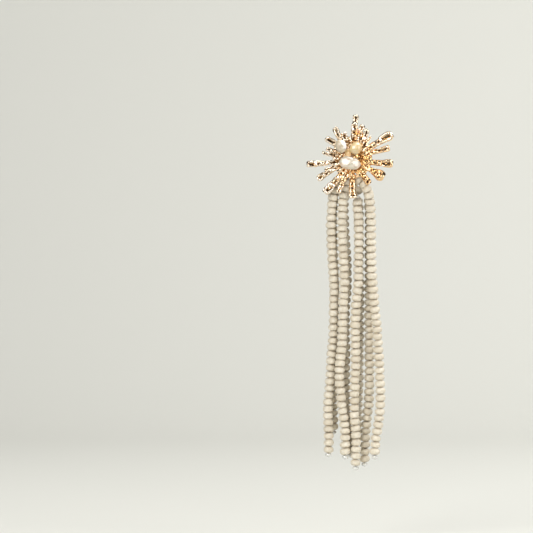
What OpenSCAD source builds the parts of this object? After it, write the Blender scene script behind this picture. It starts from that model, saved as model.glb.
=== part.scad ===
// Tassel earring: a cast star with four stones on its hub, and eight strings of small beads below it.
// The ear lobe lies in the plane Y = 0, the front of the earring looks along -Y and Z is up.
// The origin is the point where the ear post leaves its pad.

/* [Star] */
// Reach of the longest rays from the middle of the star
star_reach = 18.4; // [14:0.2:24]
// Usual width of a ray
ray_w = 2.5; // [1.8:0.1:3.4]
// Depth of a ray over its width
ray_depth_ratio = 0.95; // [0.8:0.05:1.1]
// Radius of the main disc of the hub
hub_r = 5.6; // [4.8:0.1:6.2]
// Thickness of the hub from its flat back to the seat of the stones
hub_t = 3.4; // [2.8:0.1:5]

/* [Stones] */
// Length of the peanut-shaped pearl
pearl_l = 8.6; // [7:0.1:9.5]
// Height of the pearl
pearl_h = 5.4; // [4.5:0.1:6]
// Size of the upper nuggets
nugget_size = 5.2; // [4:0.1:5.4]
// Size of the small stone between the others
rear_nugget_size = 3.5; // [2.4:0.1:3.8]

/* [Strands] */
// How far the longest string hangs below the middle of the star
tassel_drop = 122.2; // [90:0.1:150]
// Diameter of a bead
bead_d = 4; // [3:0.1:4.1]
// Length of a bead along its string
bead_l = 2.7; // [2:0.1:4]
// Diameter of the waist between two beads
waist_d = 3.1; // [2.4:0.1:3.4]
// Diameter of the small bead that ends a string
end_bead_d = 2.5; // [1.8:0.1:3.2]
// Height of the small bead that ends a string
end_bead_h = 1.7; // [1.2:0.1:2.4]

/* [Ear post] */
// Diameter of the post
post_d = 0.8; // [0.6:0.05:1]
// Length of the post behind its pad
post_l = 11; // [8:0.5:14]
// Diameter of the pad
pad_d = 6; // [4:0.5:8]
// Thickness of the pad
pad_t = 1; // [0.6:0.1:2]

/* [Hidden] */

// Clear space that separate pieces keep
gap = 0.15;

// Depths, all measured from the ear: the back of the casting, its seat for the stones, and the middle of a
// ray's root, which lies behind the seat by a share of the hub's thickness
RAY_ROOT_SHARE = 0.1;
casting_back_y = -pad_t - gap;
seat_y = casting_back_y - hub_t;
ray_root_y = seat_y + RAY_ROOT_SHARE * hub_t;

// One row per ray, clockwise from the top. Angle from +X towards +Z, then shares: reach of star_reach, width
// of the tip and of the neck of ray_w, how far the tip lies in front of the root of ray_w, and the sideways
// bow of ray_w
RAY_ANGLE = 0;
RAY_REACH = 1;
RAY_TIP = 2;
RAY_NECK = 3;
RAY_FORWARD = 4;
RAY_BOW = 5;
RAYS = [
    [86, 0.98, 1.15, 1.05, 0.30, 0.10],
    [74, 0.80, 0.95, 0.85, -0.10, 0.00],
    [64, 0.75, 0.88, 0.85, 0.20, -0.10],
    [52, 0.66, 0.40, 0.85, -0.20, 0.00],
    [33, 1.04, 1.50, 1.00, 0.30, 0.15],
    [18, 0.86, 1.10, 0.70, -0.20, 0.10],
    [-6, 0.90, 1.35, 0.95, 0.20, -0.10],
    [-30, 0.80, 1.75, 0.75, 0.10, 0.00],
    [-56, 0.66, 1.05, 0.95, 0.60, 0.00],
    [-90, 0.86, 1.25, 0.80, 0.65, -0.10],
    [-114, 0.81, 0.80, 0.75, 0.60, 0.00],
    [-130, 0.97, 1.30, 1.10, 0.60, 0.10],
    [-151, 0.90, 1.08, 0.78, 0.30, -0.15],
    [-157, 0.67, 0.95, 0.85, -0.20, 0.00],
    [-174, 1.03, 1.10, 0.78, 0.20, 0.10],
    [167, 0.70, 0.60, 0.70, -0.20, 0.00],
    [157, 0.64, 0.75, 0.80, 0.20, 0.00],
    [141, 0.77, 1.05, 0.90, 0.10, -0.25],
    [120, 0.82, 0.98, 0.85, 0.30, 0.15],
    [109, 0.64, 1.00, 0.90, -0.10, 0.00]
];
RAY_SIDES = 8;

// Sections of a ray between its root and its tip: place, and unevenness of the width and of the depth
RAY_SECTIONS = [
    [0.00, 1.00, 0.70],
    [0.18, 1.08, 0.80],
    [0.36, 0.93, 1.08],
    [0.52, 1.06, 0.92],
    [0.70, 0.94, 1.06],
    [0.88, 1.05, 0.98]
];

// Where a ray starts as a share of its reach, how wide it is there as a share of ray_w, and where along it the
// neck lies and the tip begins to widen
RAY_START_SHARE = 0.24;
ROOT_WIDTH_RATIO = 1.45;
NECK_SHARE = 0.4;
FLARE_SHARE = 0.65;

// The blunt end of a ray: the length of its chamfer as a share of the tip's width, the width of the end face
// over the tip's, and the largest slant of the face, which varies this many times round the star
TIP_CHAMFER_RATIO = 0.28;
TIP_FACE_RATIO = 0.72;
TIP_SLANT = 14;
SLANT_TURNS = 5;

// Hub discs: place across and up, and radius, as shares of hub_r
HUB_DISCS = [
    [-0.06, -0.10, 0.88],
    [-0.72, 0.72, 0.62],
    [0.28, 0.66, 0.66],
    [-0.20, 1.00, 0.50]
];

// Short ribs round the rim of the hub: angle, then the places of the inner and outer end, thickness and rise
// in front of the seat as shares of hub_r
RIB_ANGLE = 0;
RIB_INNER = 1;
RIB_OUTER = 2;
RIB_THICK = 3;
RIB_RISE = 4;
RIBS = [
    [8, 0.80, 1.28, 0.30, 0.16],
    [26, 0.86, 1.34, 0.26, 0.08],
    [44, 0.92, 1.36, 0.30, 0.14],
    [-14, 0.82, 1.20, 0.26, 0.06],
    [-34, 0.84, 1.26, 0.30, 0.18],
    [-70, 0.86, 1.22, 0.28, 0.14],
    [-100, 0.92, 1.24, 0.26, 0.18],
    [-122, 0.90, 1.26, 0.28, 0.12],
    [-142, 0.94, 1.30, 0.30, 0.18],
    [-164, 1.00, 1.34, 0.28, 0.12],
    [176, 1.04, 1.36, 0.26, 0.16],
    [76, 1.30, 1.56, 0.28, 0.10],
    [96, 1.28, 1.58, 0.26, 0.14]
];

// Stone sections along the length: place as a share of the half length, then radius, centre height and
// centre depth as shares of the half height
SECTION_PLACE = 0;
SECTION_R = 1;
SECTION_UP = 2;
SECTION_BACK = 3;
PEARL_SECTIONS = [
    [-1.00, 0.28, 0.05, 0.00],
    [-0.86, 0.66, 0.05, 0.00],
    [-0.58, 0.93, 0.03, 0.00],
    [-0.26, 0.96, 0.02, 0.00],
    [0.02, 0.82, 0.00, 0.04],
    [0.26, 0.86, -0.06, 0.00],
    [0.56, 0.88, -0.10, 0.00],
    [0.84, 0.62, -0.12, 0.00],
    [1.00, 0.26, -0.12, 0.00]
];
NUGGET_SECTIONS = [
    [-1.00, 0.35, 0.00, 0.00],
    [-0.72, 0.76, 0.04, 0.00],
    [-0.26, 0.98, 0.02, 0.00],
    [0.24, 0.96, -0.03, 0.00],
    [0.70, 0.74, -0.05, 0.00],
    [1.00, 0.34, -0.04, 0.00]
];
STONE_SIDES = 14;

// The uneven girth of a stone: bumps round each section, and the turn of the bumps from section to section
STONE_BUMPS = 3;
STONE_TWIST = 80;

// The stones on the seat: place across and up as shares of hub_r, turn, length, height and depth as shares of
// the stone's own size, and how uneven its girth is
AT_ACROSS = 0;
AT_UP = 1;
AT_TURN = 2;
AT_SHAPE = 3;
AT_UNEVEN = 4;
PEARL_AT = [-0.21, -0.25, 4, [1, 1, 1], 0.02];
NUGGET_LEFT_AT = [-0.85, 0.93, 65, [1, 0.92, 0.9], 0.05];
NUGGET_RIGHT_AT = [0.20, 0.79, -75, [0.96, 0.94, 0.92], 0.04];
NUGGET_REAR_AT = [-0.35, 0.46, 80, [1, 0.75, 0.5], 0.04];

// The strings of beads, from the left to the right as seen from the front
FAR_LEFT_FRONT = 0;
FAR_LEFT_REAR = 1;
LEFT_FRONT = 2;
LEFT_REAR = 3;
RIGHT_FRONT = 4;
RIGHT_REAR = 5;
FAR_RIGHT_FRONT = 6;
FAR_RIGHT_REAR = 7;

// The points that the strings of beads follow, from their tops behind the star to their lower ends
ROUTES = [
    // Far left, front
    [[-6.3, -1.6, -8.4], [-7.4, -1.5, -12], [-8.2, -1.4, -17], [-8.6, -1.3, -24], [-8.4, -1.3, -36],
     [-7.5, -0.9, -49], [-7.5, -0.7, -60], [-7.8, -0.6, -71], [-8.6, -0.5, -80], [-9, -0.4, -89],
     [-9.7, -0.6, -96], [-9.8, -0.9, -103], [-9.4, -1.2, -110], [-9.7, -1.3, -117]],
    // Far left, rear
    [[-7.6, 2.6, -12], [-8.6, 2.9, -22], [-8.4, 3, -36], [-7.8, 3.3, -50], [-7.7, 3.6, -60],
     [-7.8, 3.8, -72], [-8.3, 3.9, -90], [-7.8, 3.5, -100], [-7.6, 3.2, -108.2]],
    // Left, front
    [[-1.8, -2.3, -7.6], [-2.6, -2.3, -11.4], [-3.9, -2.3, -15], [-4.1, -2.3, -20], [-4.4, -2.3, -24],
     [-4.2, -2.3, -31], [-3.6, -2.5, -42], [-3.4, -2.7, -50], [-3.9, -2.9, -58], [-4.3, -2.8, -73],
     [-4.9, -2.8, -79], [-5.3, -2.9, -86], [-4.4, -2.6, -98], [-3.2, -2.3, -106], [-3, -2.3, -117.8]],
    // Left, rear
    [[-3, 1.9, -11], [-3.5, 1.9, -20], [-3, 1.9, -31], [-2.4, 1.9, -38], [-2.2, 1.9, -50],
     [-2.8, 1.9, -58], [-3, 1.9, -68], [-2.8, 1.9, -78], [-3, 1.9, -90], [-2.4, 1.9, -100],
     [-1.6, 1.9, -108], [-0.8, 1.9, -117.4]],
    // Right, front
    [[2.1, 1.5, -11], [1.8, -0.8, -16], [2, -1.8, -20], [2.5, -2, -26], [2.3, -2, -42], [2.2, -2, -50],
     [1.4, -2, -57], [1, -2, -68], [1.2, -2, -80], [0.8, -2, -88], [0.7, -2, -102], [1.3, -2, -110],
     [1.2, -2, -122.2]],
    // Right, rear
    [[2.3, 3.6, -15], [2.7, 2.6, -24], [2.6, 2.6, -40], [2.8, 4.2, -70], [2.4, 5.6, -98],
     [1.8, 6.2, -113]],
    // Far right, front
    [[1.4, -2.2, -7.2], [3.4, -2.2, -8.6], [5.4, -2.2, -10.8], [6.5, -2.2, -14], [7.1, -2.2, -18],
     [7.4, -2.2, -25], [7.6, -2.2, -43], [8.4, -2.2, -54], [9.4, -2.2, -64], [10.4, -2.2, -77],
     [10.8, -2.2, -86], [11.1, -2.2, -97], [10.3, -2.2, -105], [9.2, -2.2, -112], [8.8, -2.2, -117.8]],
    // Far right, rear
    [[6.4, 2.1, -12], [6.9, 2.1, -24], [6.8, 2.1, -41], [6.8, 2.1, -66], [6.8, 2.1, -93],
     [5.8, 2.1, -103], [5.1, 2.1, -112], [4.9, 2.1, -121]]
];

// Down to this height the strings lie as listed. Below it they stretch, so that the lowest ends at tassel_drop
STRETCH_FROM_Z = -26;
LISTED_END_Z = min([for (points_down = ROUTES) points_down[len(points_down) - 1][2]]);
stretch = (tassel_drop + STRETCH_FROM_Z) / (STRETCH_FROM_Z - LISTED_END_Z);
STRAND_SIDES = 8;
ROUTE_STEPS = 8;

// The route of string i at its set length
function route(i) =
    [for (p = ROUTES[i]) [p[0], p[1], max(p[2], STRETCH_FROM_Z) + min(p[2] - STRETCH_FROM_Z, 0) * stretch]];

// A point between knots i and i + 1 of a smooth curve through the list p
function spline_point(p, i, t) =
    let (a = p[max(i - 1, 0)])
    let (b = p[i])
    let (c = p[i + 1])
    let (d = p[min(i + 2, len(p) - 1)])
    0.5 * (2 * b + (c - a) * t + (2 * a - 5 * b + 4 * c - d) * t * t + (3 * b - a - 3 * c + d) * t * t * t);

// The smooth curve as a fine chain of points
function fine_route(p) =
    [
        for (i = [0 : len(p) - 2], k = [0 : ROUTE_STEPS - 1]) spline_point(p, i, k / ROUTE_STEPS),
        p[len(p) - 1]
    ];

// The length of the step that ends at point i of the chain
function step_before(chain, i) = norm(chain[i] - chain[i - 1]);

// The distance along the chain at each of its points
function travel(chain) =
    [
        for (i = 0, s = 0; i < len(chain); i = i + 1, s = s + (i < len(chain) ? step_before(chain, i) : 0))
            s
    ];

// The point at the distance s along the chain
function point_at(chain, way, s) =
    [for (axis = [0 : 2]) lookup(s, [for (i = [0 : len(chain) - 1]) [way[i], chain[i][axis]]])];

// Triangles of a closed skin over rings of equal length, with a flat fan over the first and the last ring
function skin_faces(rings, sides) =
    let (last = (rings - 1) * sides)
    [
        for (i = [0 : rings - 2], j = [0 : sides - 1], upper = [0, 1])
            let (k = (j + 1) % sides)
            let (a = i * sides)
            let (b = a + sides)
            upper == 0 ? [a + j, b + j, b + k] : [a + j, b + k, a + k],
        for (j = [1 : sides - 2]) [0, j, j + 1],
        for (j = [1 : sides - 2]) [last, last + j + 1, last + j]
    ];

// One string of beads: a ring at each waist and one round each bead
module bead_string(points_down) {
    chain = fine_route(points_down);
    way = travel(chain);
    total = way[len(way) - 1];
    beads = round(total / bead_l);
    half = total / beads / 2;
    rings = 2 * beads + 1;
    points = [
        for (i = [0 : rings - 1])
            let (s = i * half)
            let (at = point_at(chain, way, s))
            let (ahead = point_at(chain, way, min(s + half, total)) - point_at(chain, way, max(s - half, 0)))
            let (along = ahead / norm(ahead))
            let (across = cross([0, 1, 0], along) / norm(cross([0, 1, 0], along)))
            let (out = cross(along, across))
            let (r = (i % 2 == 0 ? waist_d : bead_d) / 2)
            for (j = [0 : STRAND_SIDES - 1])
                let (turn = 360 * (j + 0.5) / STRAND_SIDES)
                at + r * (cos(turn) * across + sin(turn) * out)
    ];
    polyhedron(points, skin_faces(rings, STRAND_SIDES), convexity = 6);
}

// The small bead below the end of a string
module end_bead(points_down) {
    low = points_down[len(points_down) - 1];
    steps = 6;
    translate(low - [0, 0, gap + end_bead_h / 2])
        rotate_extrude($fn = 24)
            polygon([for (i = [0 : steps])
                let (a = -90 + 180 * i / steps)
                [end_bead_d / 2 * cos(a), end_bead_h / 2 * sin(a)]]);
}

// A rounded stone on the seat, lying along X before its turn. size is its length, height and depth, and grow
// widens it all round, for the pocket that it sits in
module stone(sections, at, size, grow) {
    shaped = [for (i = [0 : 2]) at[AT_SHAPE][i] * size[i]];
    half = [for (v = shaped) v / 2 + grow];
    rings = len(sections);
    points = [
        for (i = [0 : rings - 1], j = [0 : STONE_SIDES - 1])
            let (row = sections[i])
            let (a = 360 * j / STONE_SIDES)
            let (r = row[SECTION_R] * (1 + at[AT_UNEVEN] * sin(STONE_BUMPS * a + STONE_TWIST * i)))
            [
                row[SECTION_PLACE] * half[0],
                (row[SECTION_BACK] - r * sin(a)) * half[2],
                (row[SECTION_UP] + r * cos(a)) * half[1]
            ]
    ];
    translate([at[AT_ACROSS] * hub_r, seat_y - gap - shaped[2] / 2, at[AT_UP] * hub_r])
        rotate([0, at[AT_TURN], 0])
            polyhedron(points, skin_faces(rings, STONE_SIDES), convexity = 4);
}

// One ray: an uneven bar, narrow at the neck, wide at the tip, with a blunt slanted end
module ray(row) {
    reach = row[RAY_REACH] * star_reach;
    tip = row[RAY_TIP] * ray_w;
    neck = row[RAY_NECK] * ray_w;
    first = RAY_START_SHARE * reach;
    chamfer = TIP_CHAMFER_RATIO * tip;
    bar = reach - chamfer - first;
    flare = (2 * neck + tip) / 3;
    widths = [[0, ROOT_WIDTH_RATIO * ray_w], [NECK_SHARE, neck], [FLARE_SHARE, flare], [1, tip]];
    count = len(RAY_SECTIONS);
    slant = tan(TIP_SLANT * sin(SLANT_TURNS * row[RAY_ANGLE]));
    points = [
        for (k = [0 : count + 1], j = [0 : RAY_SIDES - 1])
            let (t = k < count ? RAY_SECTIONS[k][0] : 1)
            let (face = k > count ? TIP_FACE_RATIO : 1)
            let (wide = k < count ? RAY_SECTIONS[k][1] : 1)
            let (deep = k < count ? RAY_SECTIONS[k][2] : 1)
            let (half = lookup(t, widths) * face / 2)
            let (turn = 360 * (j + 0.5) / RAY_SIDES)
            let (side = half * wide * cos(turn))
            [
                first + t * bar + (k > count ? chamfer : 0) + (k < count ? 0 : slant * side),
                ray_root_y - row[RAY_FORWARD] * ray_w * t - half * deep * ray_depth_ratio * sin(turn),
                row[RAY_BOW] * ray_w * sin(180 * t) + side
            ]
    ];
    rotate([0, -row[RAY_ANGLE], 0])
        polyhedron(points, skin_faces(count + 2, RAY_SIDES), convexity = 4);
}

// A short rib on the rim of the hub
module rib(row) {
    rotate([0, -row[RIB_ANGLE], 0])
        hull()
            for (place = [RIB_INNER, RIB_OUTER])
                translate([row[place] * hub_r, seat_y - (place == RIB_INNER ? row[RIB_RISE] * hub_r : 0), 0])
                    sphere(d = row[RIB_THICK] * hub_r, $fn = 6);
}

// The hub: discs between the flat back and the seat, with ribs round their rim
module hub() {
    back_share = 0.9;
    for (disc = HUB_DISCS)
        hull()
            for (layer = [[0, back_share], [hub_t / 2, 1]])
                translate([disc[0] * hub_r, casting_back_y - layer[0], disc[1] * hub_r])
                    rotate([90, 0, 0])
                        cylinder(r = disc[2] * hub_r * layer[1], h = hub_t / 2, $fn = 18);
    for (row = RIBS)
        rib(row);
}

module pearl_body(grow = 0) {
    stone(PEARL_SECTIONS, PEARL_AT, [pearl_l, pearl_h, pearl_h], grow);
}

module nugget_left_body(grow = 0) {
    stone(NUGGET_SECTIONS, NUGGET_LEFT_AT, nugget_size * [1, 1, 1], grow);
}

module nugget_right_body(grow = 0) {
    stone(NUGGET_SECTIONS, NUGGET_RIGHT_AT, nugget_size * [1, 1, 1], grow);
}

module nugget_rear_body(grow = 0) {
    stone(NUGGET_SECTIONS, NUGGET_REAR_AT, rear_nugget_size * [1, 1, 1], grow);
}

module star_casting() {
    color([0.86, 0.74, 0.55])
        difference() {
            union() {
                hub();
                for (row = RAYS)
                    ray(row);
            }
            pearl_body(gap);
            nugget_left_body(gap);
            nugget_right_body(gap);
            nugget_rear_body(gap);
        }
}

module pearl() {
    color([0.95, 0.94, 0.9])
        pearl_body();
}

module nugget_left() {
    color([0.88, 0.84, 0.76])
        nugget_left_body();
}

module nugget_right() {
    color([0.93, 0.84, 0.64])
        nugget_right_body();
}

module nugget_rear() {
    color([0.9, 0.78, 0.58])
        nugget_rear_body();
}

// The pad against the ear and the post through it, one plain piece
module ear_post() {
    color([0.86, 0.74, 0.55]) {
        rotate([90, 0, 0])
            cylinder(d = pad_d, h = pad_t, $fn = 48);
        rotate([-90, 0, 0])
            cylinder(d = post_d, h = post_l, $fn = 32);
    }
}

module bead_strand(i) {
    color([0.88, 0.83, 0.73])
        bead_string(route(i));
}

module strand_end(i) {
    color([0.88, 0.88, 0.84])
        end_bead(route(i));
}

star_casting();
pearl();
nugget_left();
nugget_right();
nugget_rear();
ear_post();
bead_strand(FAR_LEFT_FRONT);  // strand_far_left_front
bead_strand(FAR_LEFT_REAR);  // strand_far_left_rear
bead_strand(LEFT_FRONT);  // strand_left_front
bead_strand(LEFT_REAR);  // strand_left_rear
bead_strand(RIGHT_FRONT);  // strand_right_front
bead_strand(RIGHT_REAR);  // strand_right_rear
bead_strand(FAR_RIGHT_FRONT);  // strand_far_right_front
bead_strand(FAR_RIGHT_REAR);  // strand_far_right_rear
strand_end(FAR_LEFT_FRONT);  // end_bead_far_left_front
strand_end(FAR_LEFT_REAR);  // end_bead_far_left_rear
strand_end(LEFT_FRONT);  // end_bead_left_front
strand_end(LEFT_REAR);  // end_bead_left_rear
strand_end(RIGHT_FRONT);  // end_bead_right_front
strand_end(RIGHT_REAR);  // end_bead_right_rear
strand_end(FAR_RIGHT_FRONT);  // end_bead_far_right_front
strand_end(FAR_RIGHT_REAR);  // end_bead_far_right_rear
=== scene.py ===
"""Tassel earring: a cast star with four stones on its hub, and eight strings of seed beads below it.

Pieces are modelled in millimetres, in the frame of the CAD part, and brought to metres when they are
finished. The front of the earring looks along -Y, X runs to the right and Z up.
"""
import logging
import math
import random
from collections.abc import Callable, Iterable, Iterator, Sequence
from contextlib import contextmanager
from dataclasses import dataclass, field
from enum import Enum
from itertools import pairwise

import bmesh
import bpy
import numpy
from mathutils import Matrix, Vector


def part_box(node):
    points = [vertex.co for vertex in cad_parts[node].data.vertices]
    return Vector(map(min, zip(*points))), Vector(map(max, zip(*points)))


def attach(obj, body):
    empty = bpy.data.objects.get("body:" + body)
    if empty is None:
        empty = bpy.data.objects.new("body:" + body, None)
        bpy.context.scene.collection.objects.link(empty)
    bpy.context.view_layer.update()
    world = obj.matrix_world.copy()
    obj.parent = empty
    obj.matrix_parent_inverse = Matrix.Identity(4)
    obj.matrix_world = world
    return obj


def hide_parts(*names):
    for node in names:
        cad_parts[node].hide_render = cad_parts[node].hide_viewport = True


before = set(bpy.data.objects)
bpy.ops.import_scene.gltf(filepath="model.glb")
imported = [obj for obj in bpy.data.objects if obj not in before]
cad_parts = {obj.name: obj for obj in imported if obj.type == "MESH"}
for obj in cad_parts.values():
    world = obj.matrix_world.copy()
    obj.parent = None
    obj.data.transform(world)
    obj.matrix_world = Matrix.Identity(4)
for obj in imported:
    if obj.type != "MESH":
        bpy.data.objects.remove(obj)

LOG = logging.getLogger("earring")
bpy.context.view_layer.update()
MM = 0.001
MERGED_WITHIN = 1e-5
# An odd place off to the side, from which no two points of a piece are equally far.
ORDERED_FROM = (-61.7, 83.3, -47.9)

Colour = tuple[float, float, float]
Test = Callable[[Vector, Vector], bool]

BLACK = (0.0, 0.0, 0.0)
WHITE = (1.0, 1.0, 1.0)


def deselect() -> None:
    """Leave no object selected."""
    bpy.ops.object.select_all(action="DESELECT")


def take_up(piece: bpy.types.Object) -> None:
    """Make a piece the only selected object, and the active one.

    Args:
        piece: The piece to work on.
    """
    deselect()
    piece.select_set(True)
    bpy.context.view_layer.objects.active = piece


@contextmanager
def editing(piece: bpy.types.Object, kind: str = "FACE") -> Iterator[None]:
    """Hold a piece in edit mode.

    Args:
        piece: The piece to edit.
        kind: What is selected: VERT, EDGE or FACE.

    Returns:
        The context in which it is edited.
    """
    take_up(piece)
    bpy.ops.object.mode_set(mode="EDIT")
    bpy.ops.mesh.select_mode(type=kind)
    yield
    bpy.ops.object.mode_set(mode="OBJECT")


def put_in_order() -> None:
    """Put the points, edges and faces of the piece in edit mode in an order that every run repeats.

    Extrude and inset leave them in an order of chance, so that random draws would fall on others in each run.
    All of the piece is selected afterwards.
    """
    cursor = bpy.context.scene.cursor
    cursor.location = ORDERED_FROM
    bpy.ops.mesh.select_all(action="SELECT")
    bpy.ops.mesh.sort_elements(type="CURSOR_DISTANCE", elements={"VERT", "EDGE", "FACE"})
    cursor.location = (0, 0, 0)


def pick_faces(piece: bpy.types.Object, test: Test) -> None:
    """Select the faces that pass a test, in a piece that is in edit mode.

    Args:
        piece: The piece in edit mode.
        test: Takes a face's centre and normal.
    """
    bpy.ops.mesh.select_all(action="DESELECT")
    form = bmesh.from_edit_mesh(piece.data)
    for face in form.faces:
        if test(face.calc_center_median(), face.normal):
            face.select_set(True)
    bmesh.update_edit_mesh(piece.data)


def pick_edges(piece: bpy.types.Object, test: Test) -> None:
    """Select the edges that pass a test, in a piece that is in edit mode.

    Args:
        piece: The piece in edit mode.
        test: Takes an edge's middle and direction.
    """
    bpy.ops.mesh.select_all(action="DESELECT")
    form = bmesh.from_edit_mesh(piece.data)
    for edge in form.edges:
        a, b = (corner.co for corner in edge.verts)
        if test((a + b) / 2, (b - a).normalized()):
            edge.select_set(True)
    bmesh.update_edit_mesh(piece.data)


def settle(piece: bpy.types.Object) -> None:
    """Put a piece's place, turn and size into its mesh.

    Args:
        piece: The piece to settle.
    """
    take_up(piece)
    bpy.ops.object.transform_apply(location=True, rotation=True, scale=True)


def apply_modifiers(piece: bpy.types.Object) -> None:
    """Apply a piece's modifiers in their order.

    Args:
        piece: The piece whose modifiers are applied.
    """
    take_up(piece)
    for modifier in list(piece.modifiers):
        bpy.ops.object.modifier_apply(modifier=modifier.name)


def close_and_face_out(piece: bpy.types.Object) -> None:
    """Merge a piece's doubles and turn its faces outwards.

    Args:
        piece: The piece to mend.
    """
    with editing(piece):
        bpy.ops.mesh.select_all(action="SELECT")
        bpy.ops.mesh.remove_doubles(threshold=MERGED_WITHIN)
        bpy.ops.mesh.normals_make_consistent(inside=False)


def mark(piece: bpy.types.Object, name: str, values: Iterable[float]) -> None:
    """Write a number to each point of a piece, for its material to read.

    Args:
        piece: The piece.
        name: The attribute.
        values: The numbers, in the order of the points.
    """
    attribute = piece.data.attributes.new(name, "FLOAT", "POINT")
    attribute.data.foreach_set("value", list(values))


def read_points(piece: bpy.types.Object, kind: str = "co") -> numpy.ndarray:
    """Read the points of a piece.

    Args:
        piece: The piece.
        kind: What is read of each point: co or normal.

    Returns:
        One row of three numbers for each point.
    """
    values = numpy.empty(len(piece.data.vertices) * 3)
    piece.data.vertices.foreach_get(kind, values)
    return values.reshape(-1, 3)


def add_relief(
    piece: bpy.types.Object, texture: bpy.types.Texture, strength: float, middle: float = 0.5
) -> None:
    """Raise and sink a piece by a solid texture.

    Args:
        piece: The piece.
        texture: The texture, read in the piece's own coordinates.
        strength: How far it moves the surface between its lowest and highest value.
        middle: The value that leaves the surface where it is.
    """
    relief = piece.modifiers.new(texture.name, "DISPLACE")
    relief.texture = texture
    relief.texture_coords = "LOCAL"
    relief.strength = strength
    relief.mid_level = middle


def join(name: str, parts: Sequence[bpy.types.Object]) -> bpy.types.Object:
    """Join objects into one.

    Args:
        name: The name of the joined piece.
        parts: The objects, of which the first lives on.

    Returns:
        The joined piece.
    """
    take_up(parts[0])
    for part in parts:
        part.select_set(True)
    if len(parts) > 1:
        bpy.ops.object.join()
    parts[0].name = name
    return parts[0]


def copy_of(model: bpy.types.Object, place: Matrix) -> bpy.types.Object:
    """Copy a modelled object, with a mesh of its own.

    Args:
        model: What is copied.
        place: Where the copy's mesh goes.

    Returns:
        The copy.
    """
    twin = model.copy()
    twin.data = model.data.copy()
    twin.data.transform(place)
    bpy.context.scene.collection.objects.link(twin)
    return twin


def discard(model: bpy.types.Object) -> None:
    """Remove a model that was only copied from."""
    bpy.data.objects.remove(model, do_unlink=True)


def finish(
    piece: bpy.types.Object, material: bpy.types.Material, nodes: Sequence[str] = ()
) -> None:
    """Bring a piece to metres, dress it and hand it to the frame.

    Args:
        piece: The modelled piece, in millimetres.
        material: What it is made of.
        nodes: The CAD nodes that it stands for.
    """
    piece.scale = (MM, MM, MM)
    settle(piece)
    piece.data.materials.clear()
    piece.data.materials.append(material)
    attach(piece, "root")
    if nodes:
        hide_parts(*nodes)
    replaced = ", ".join(nodes) or "nothing"
    LOG.info("%s: %d faces, in place of %s", piece.name, len(piece.data.polygons), replaced)


@dataclass(frozen=True)
class Station:
    """One cross-section of a drawn bar, in millimetres.

    Attributes:
        centre: The middle of the section.
        across: Half its size along Z.
        deep: Half its size along Y.
    """

    centre: Vector
    across: float
    deep: float


def draw_out(name: str, stations: Sequence[Station], sides: int) -> bpy.types.Object:
    """Draw a disc out along X through stations, into a closed bar.

    Args:
        name: The name of the bar.
        stations: The sections, in the order of X.
        sides: The corners of a section.

    Returns:
        The bar, with its faces outwards.
    """
    deselect()
    first = stations[0]
    bpy.ops.mesh.primitive_circle_add(
        vertices=sides, radius=1, fill_type="NGON", location=first.centre, rotation=(0, -math.pi / 2, 0)
    )
    bar = bpy.context.object
    bar.name = name
    settle(bar)
    with editing(bar):
        bpy.ops.mesh.select_all(action="SELECT")
        bpy.ops.transform.resize(value=(1, first.deep, first.across), center_override=first.centre)
        for before, now in pairwise(stations):
            bpy.ops.mesh.extrude_region_move(TRANSFORM_OT_translate={"value": now.centre - before.centre})
            bpy.ops.transform.resize(
                value=(1, now.deep / before.deep, now.across / before.across), center_override=now.centre
            )
    close_and_face_out(bar)
    with editing(bar):
        put_in_order()
    return bar


@dataclass(frozen=True)
class Effects:
    """The node groups that the finishes share.

    Attributes:
        tone: Drifts between two colours in soft clouds.
        border: Lays a colour over another along a mask.
        pits: Roughens a surface with fine pits.
    """

    tone: bpy.types.NodeTree
    border: bpy.types.NodeTree
    pits: bpy.types.NodeTree


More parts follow.
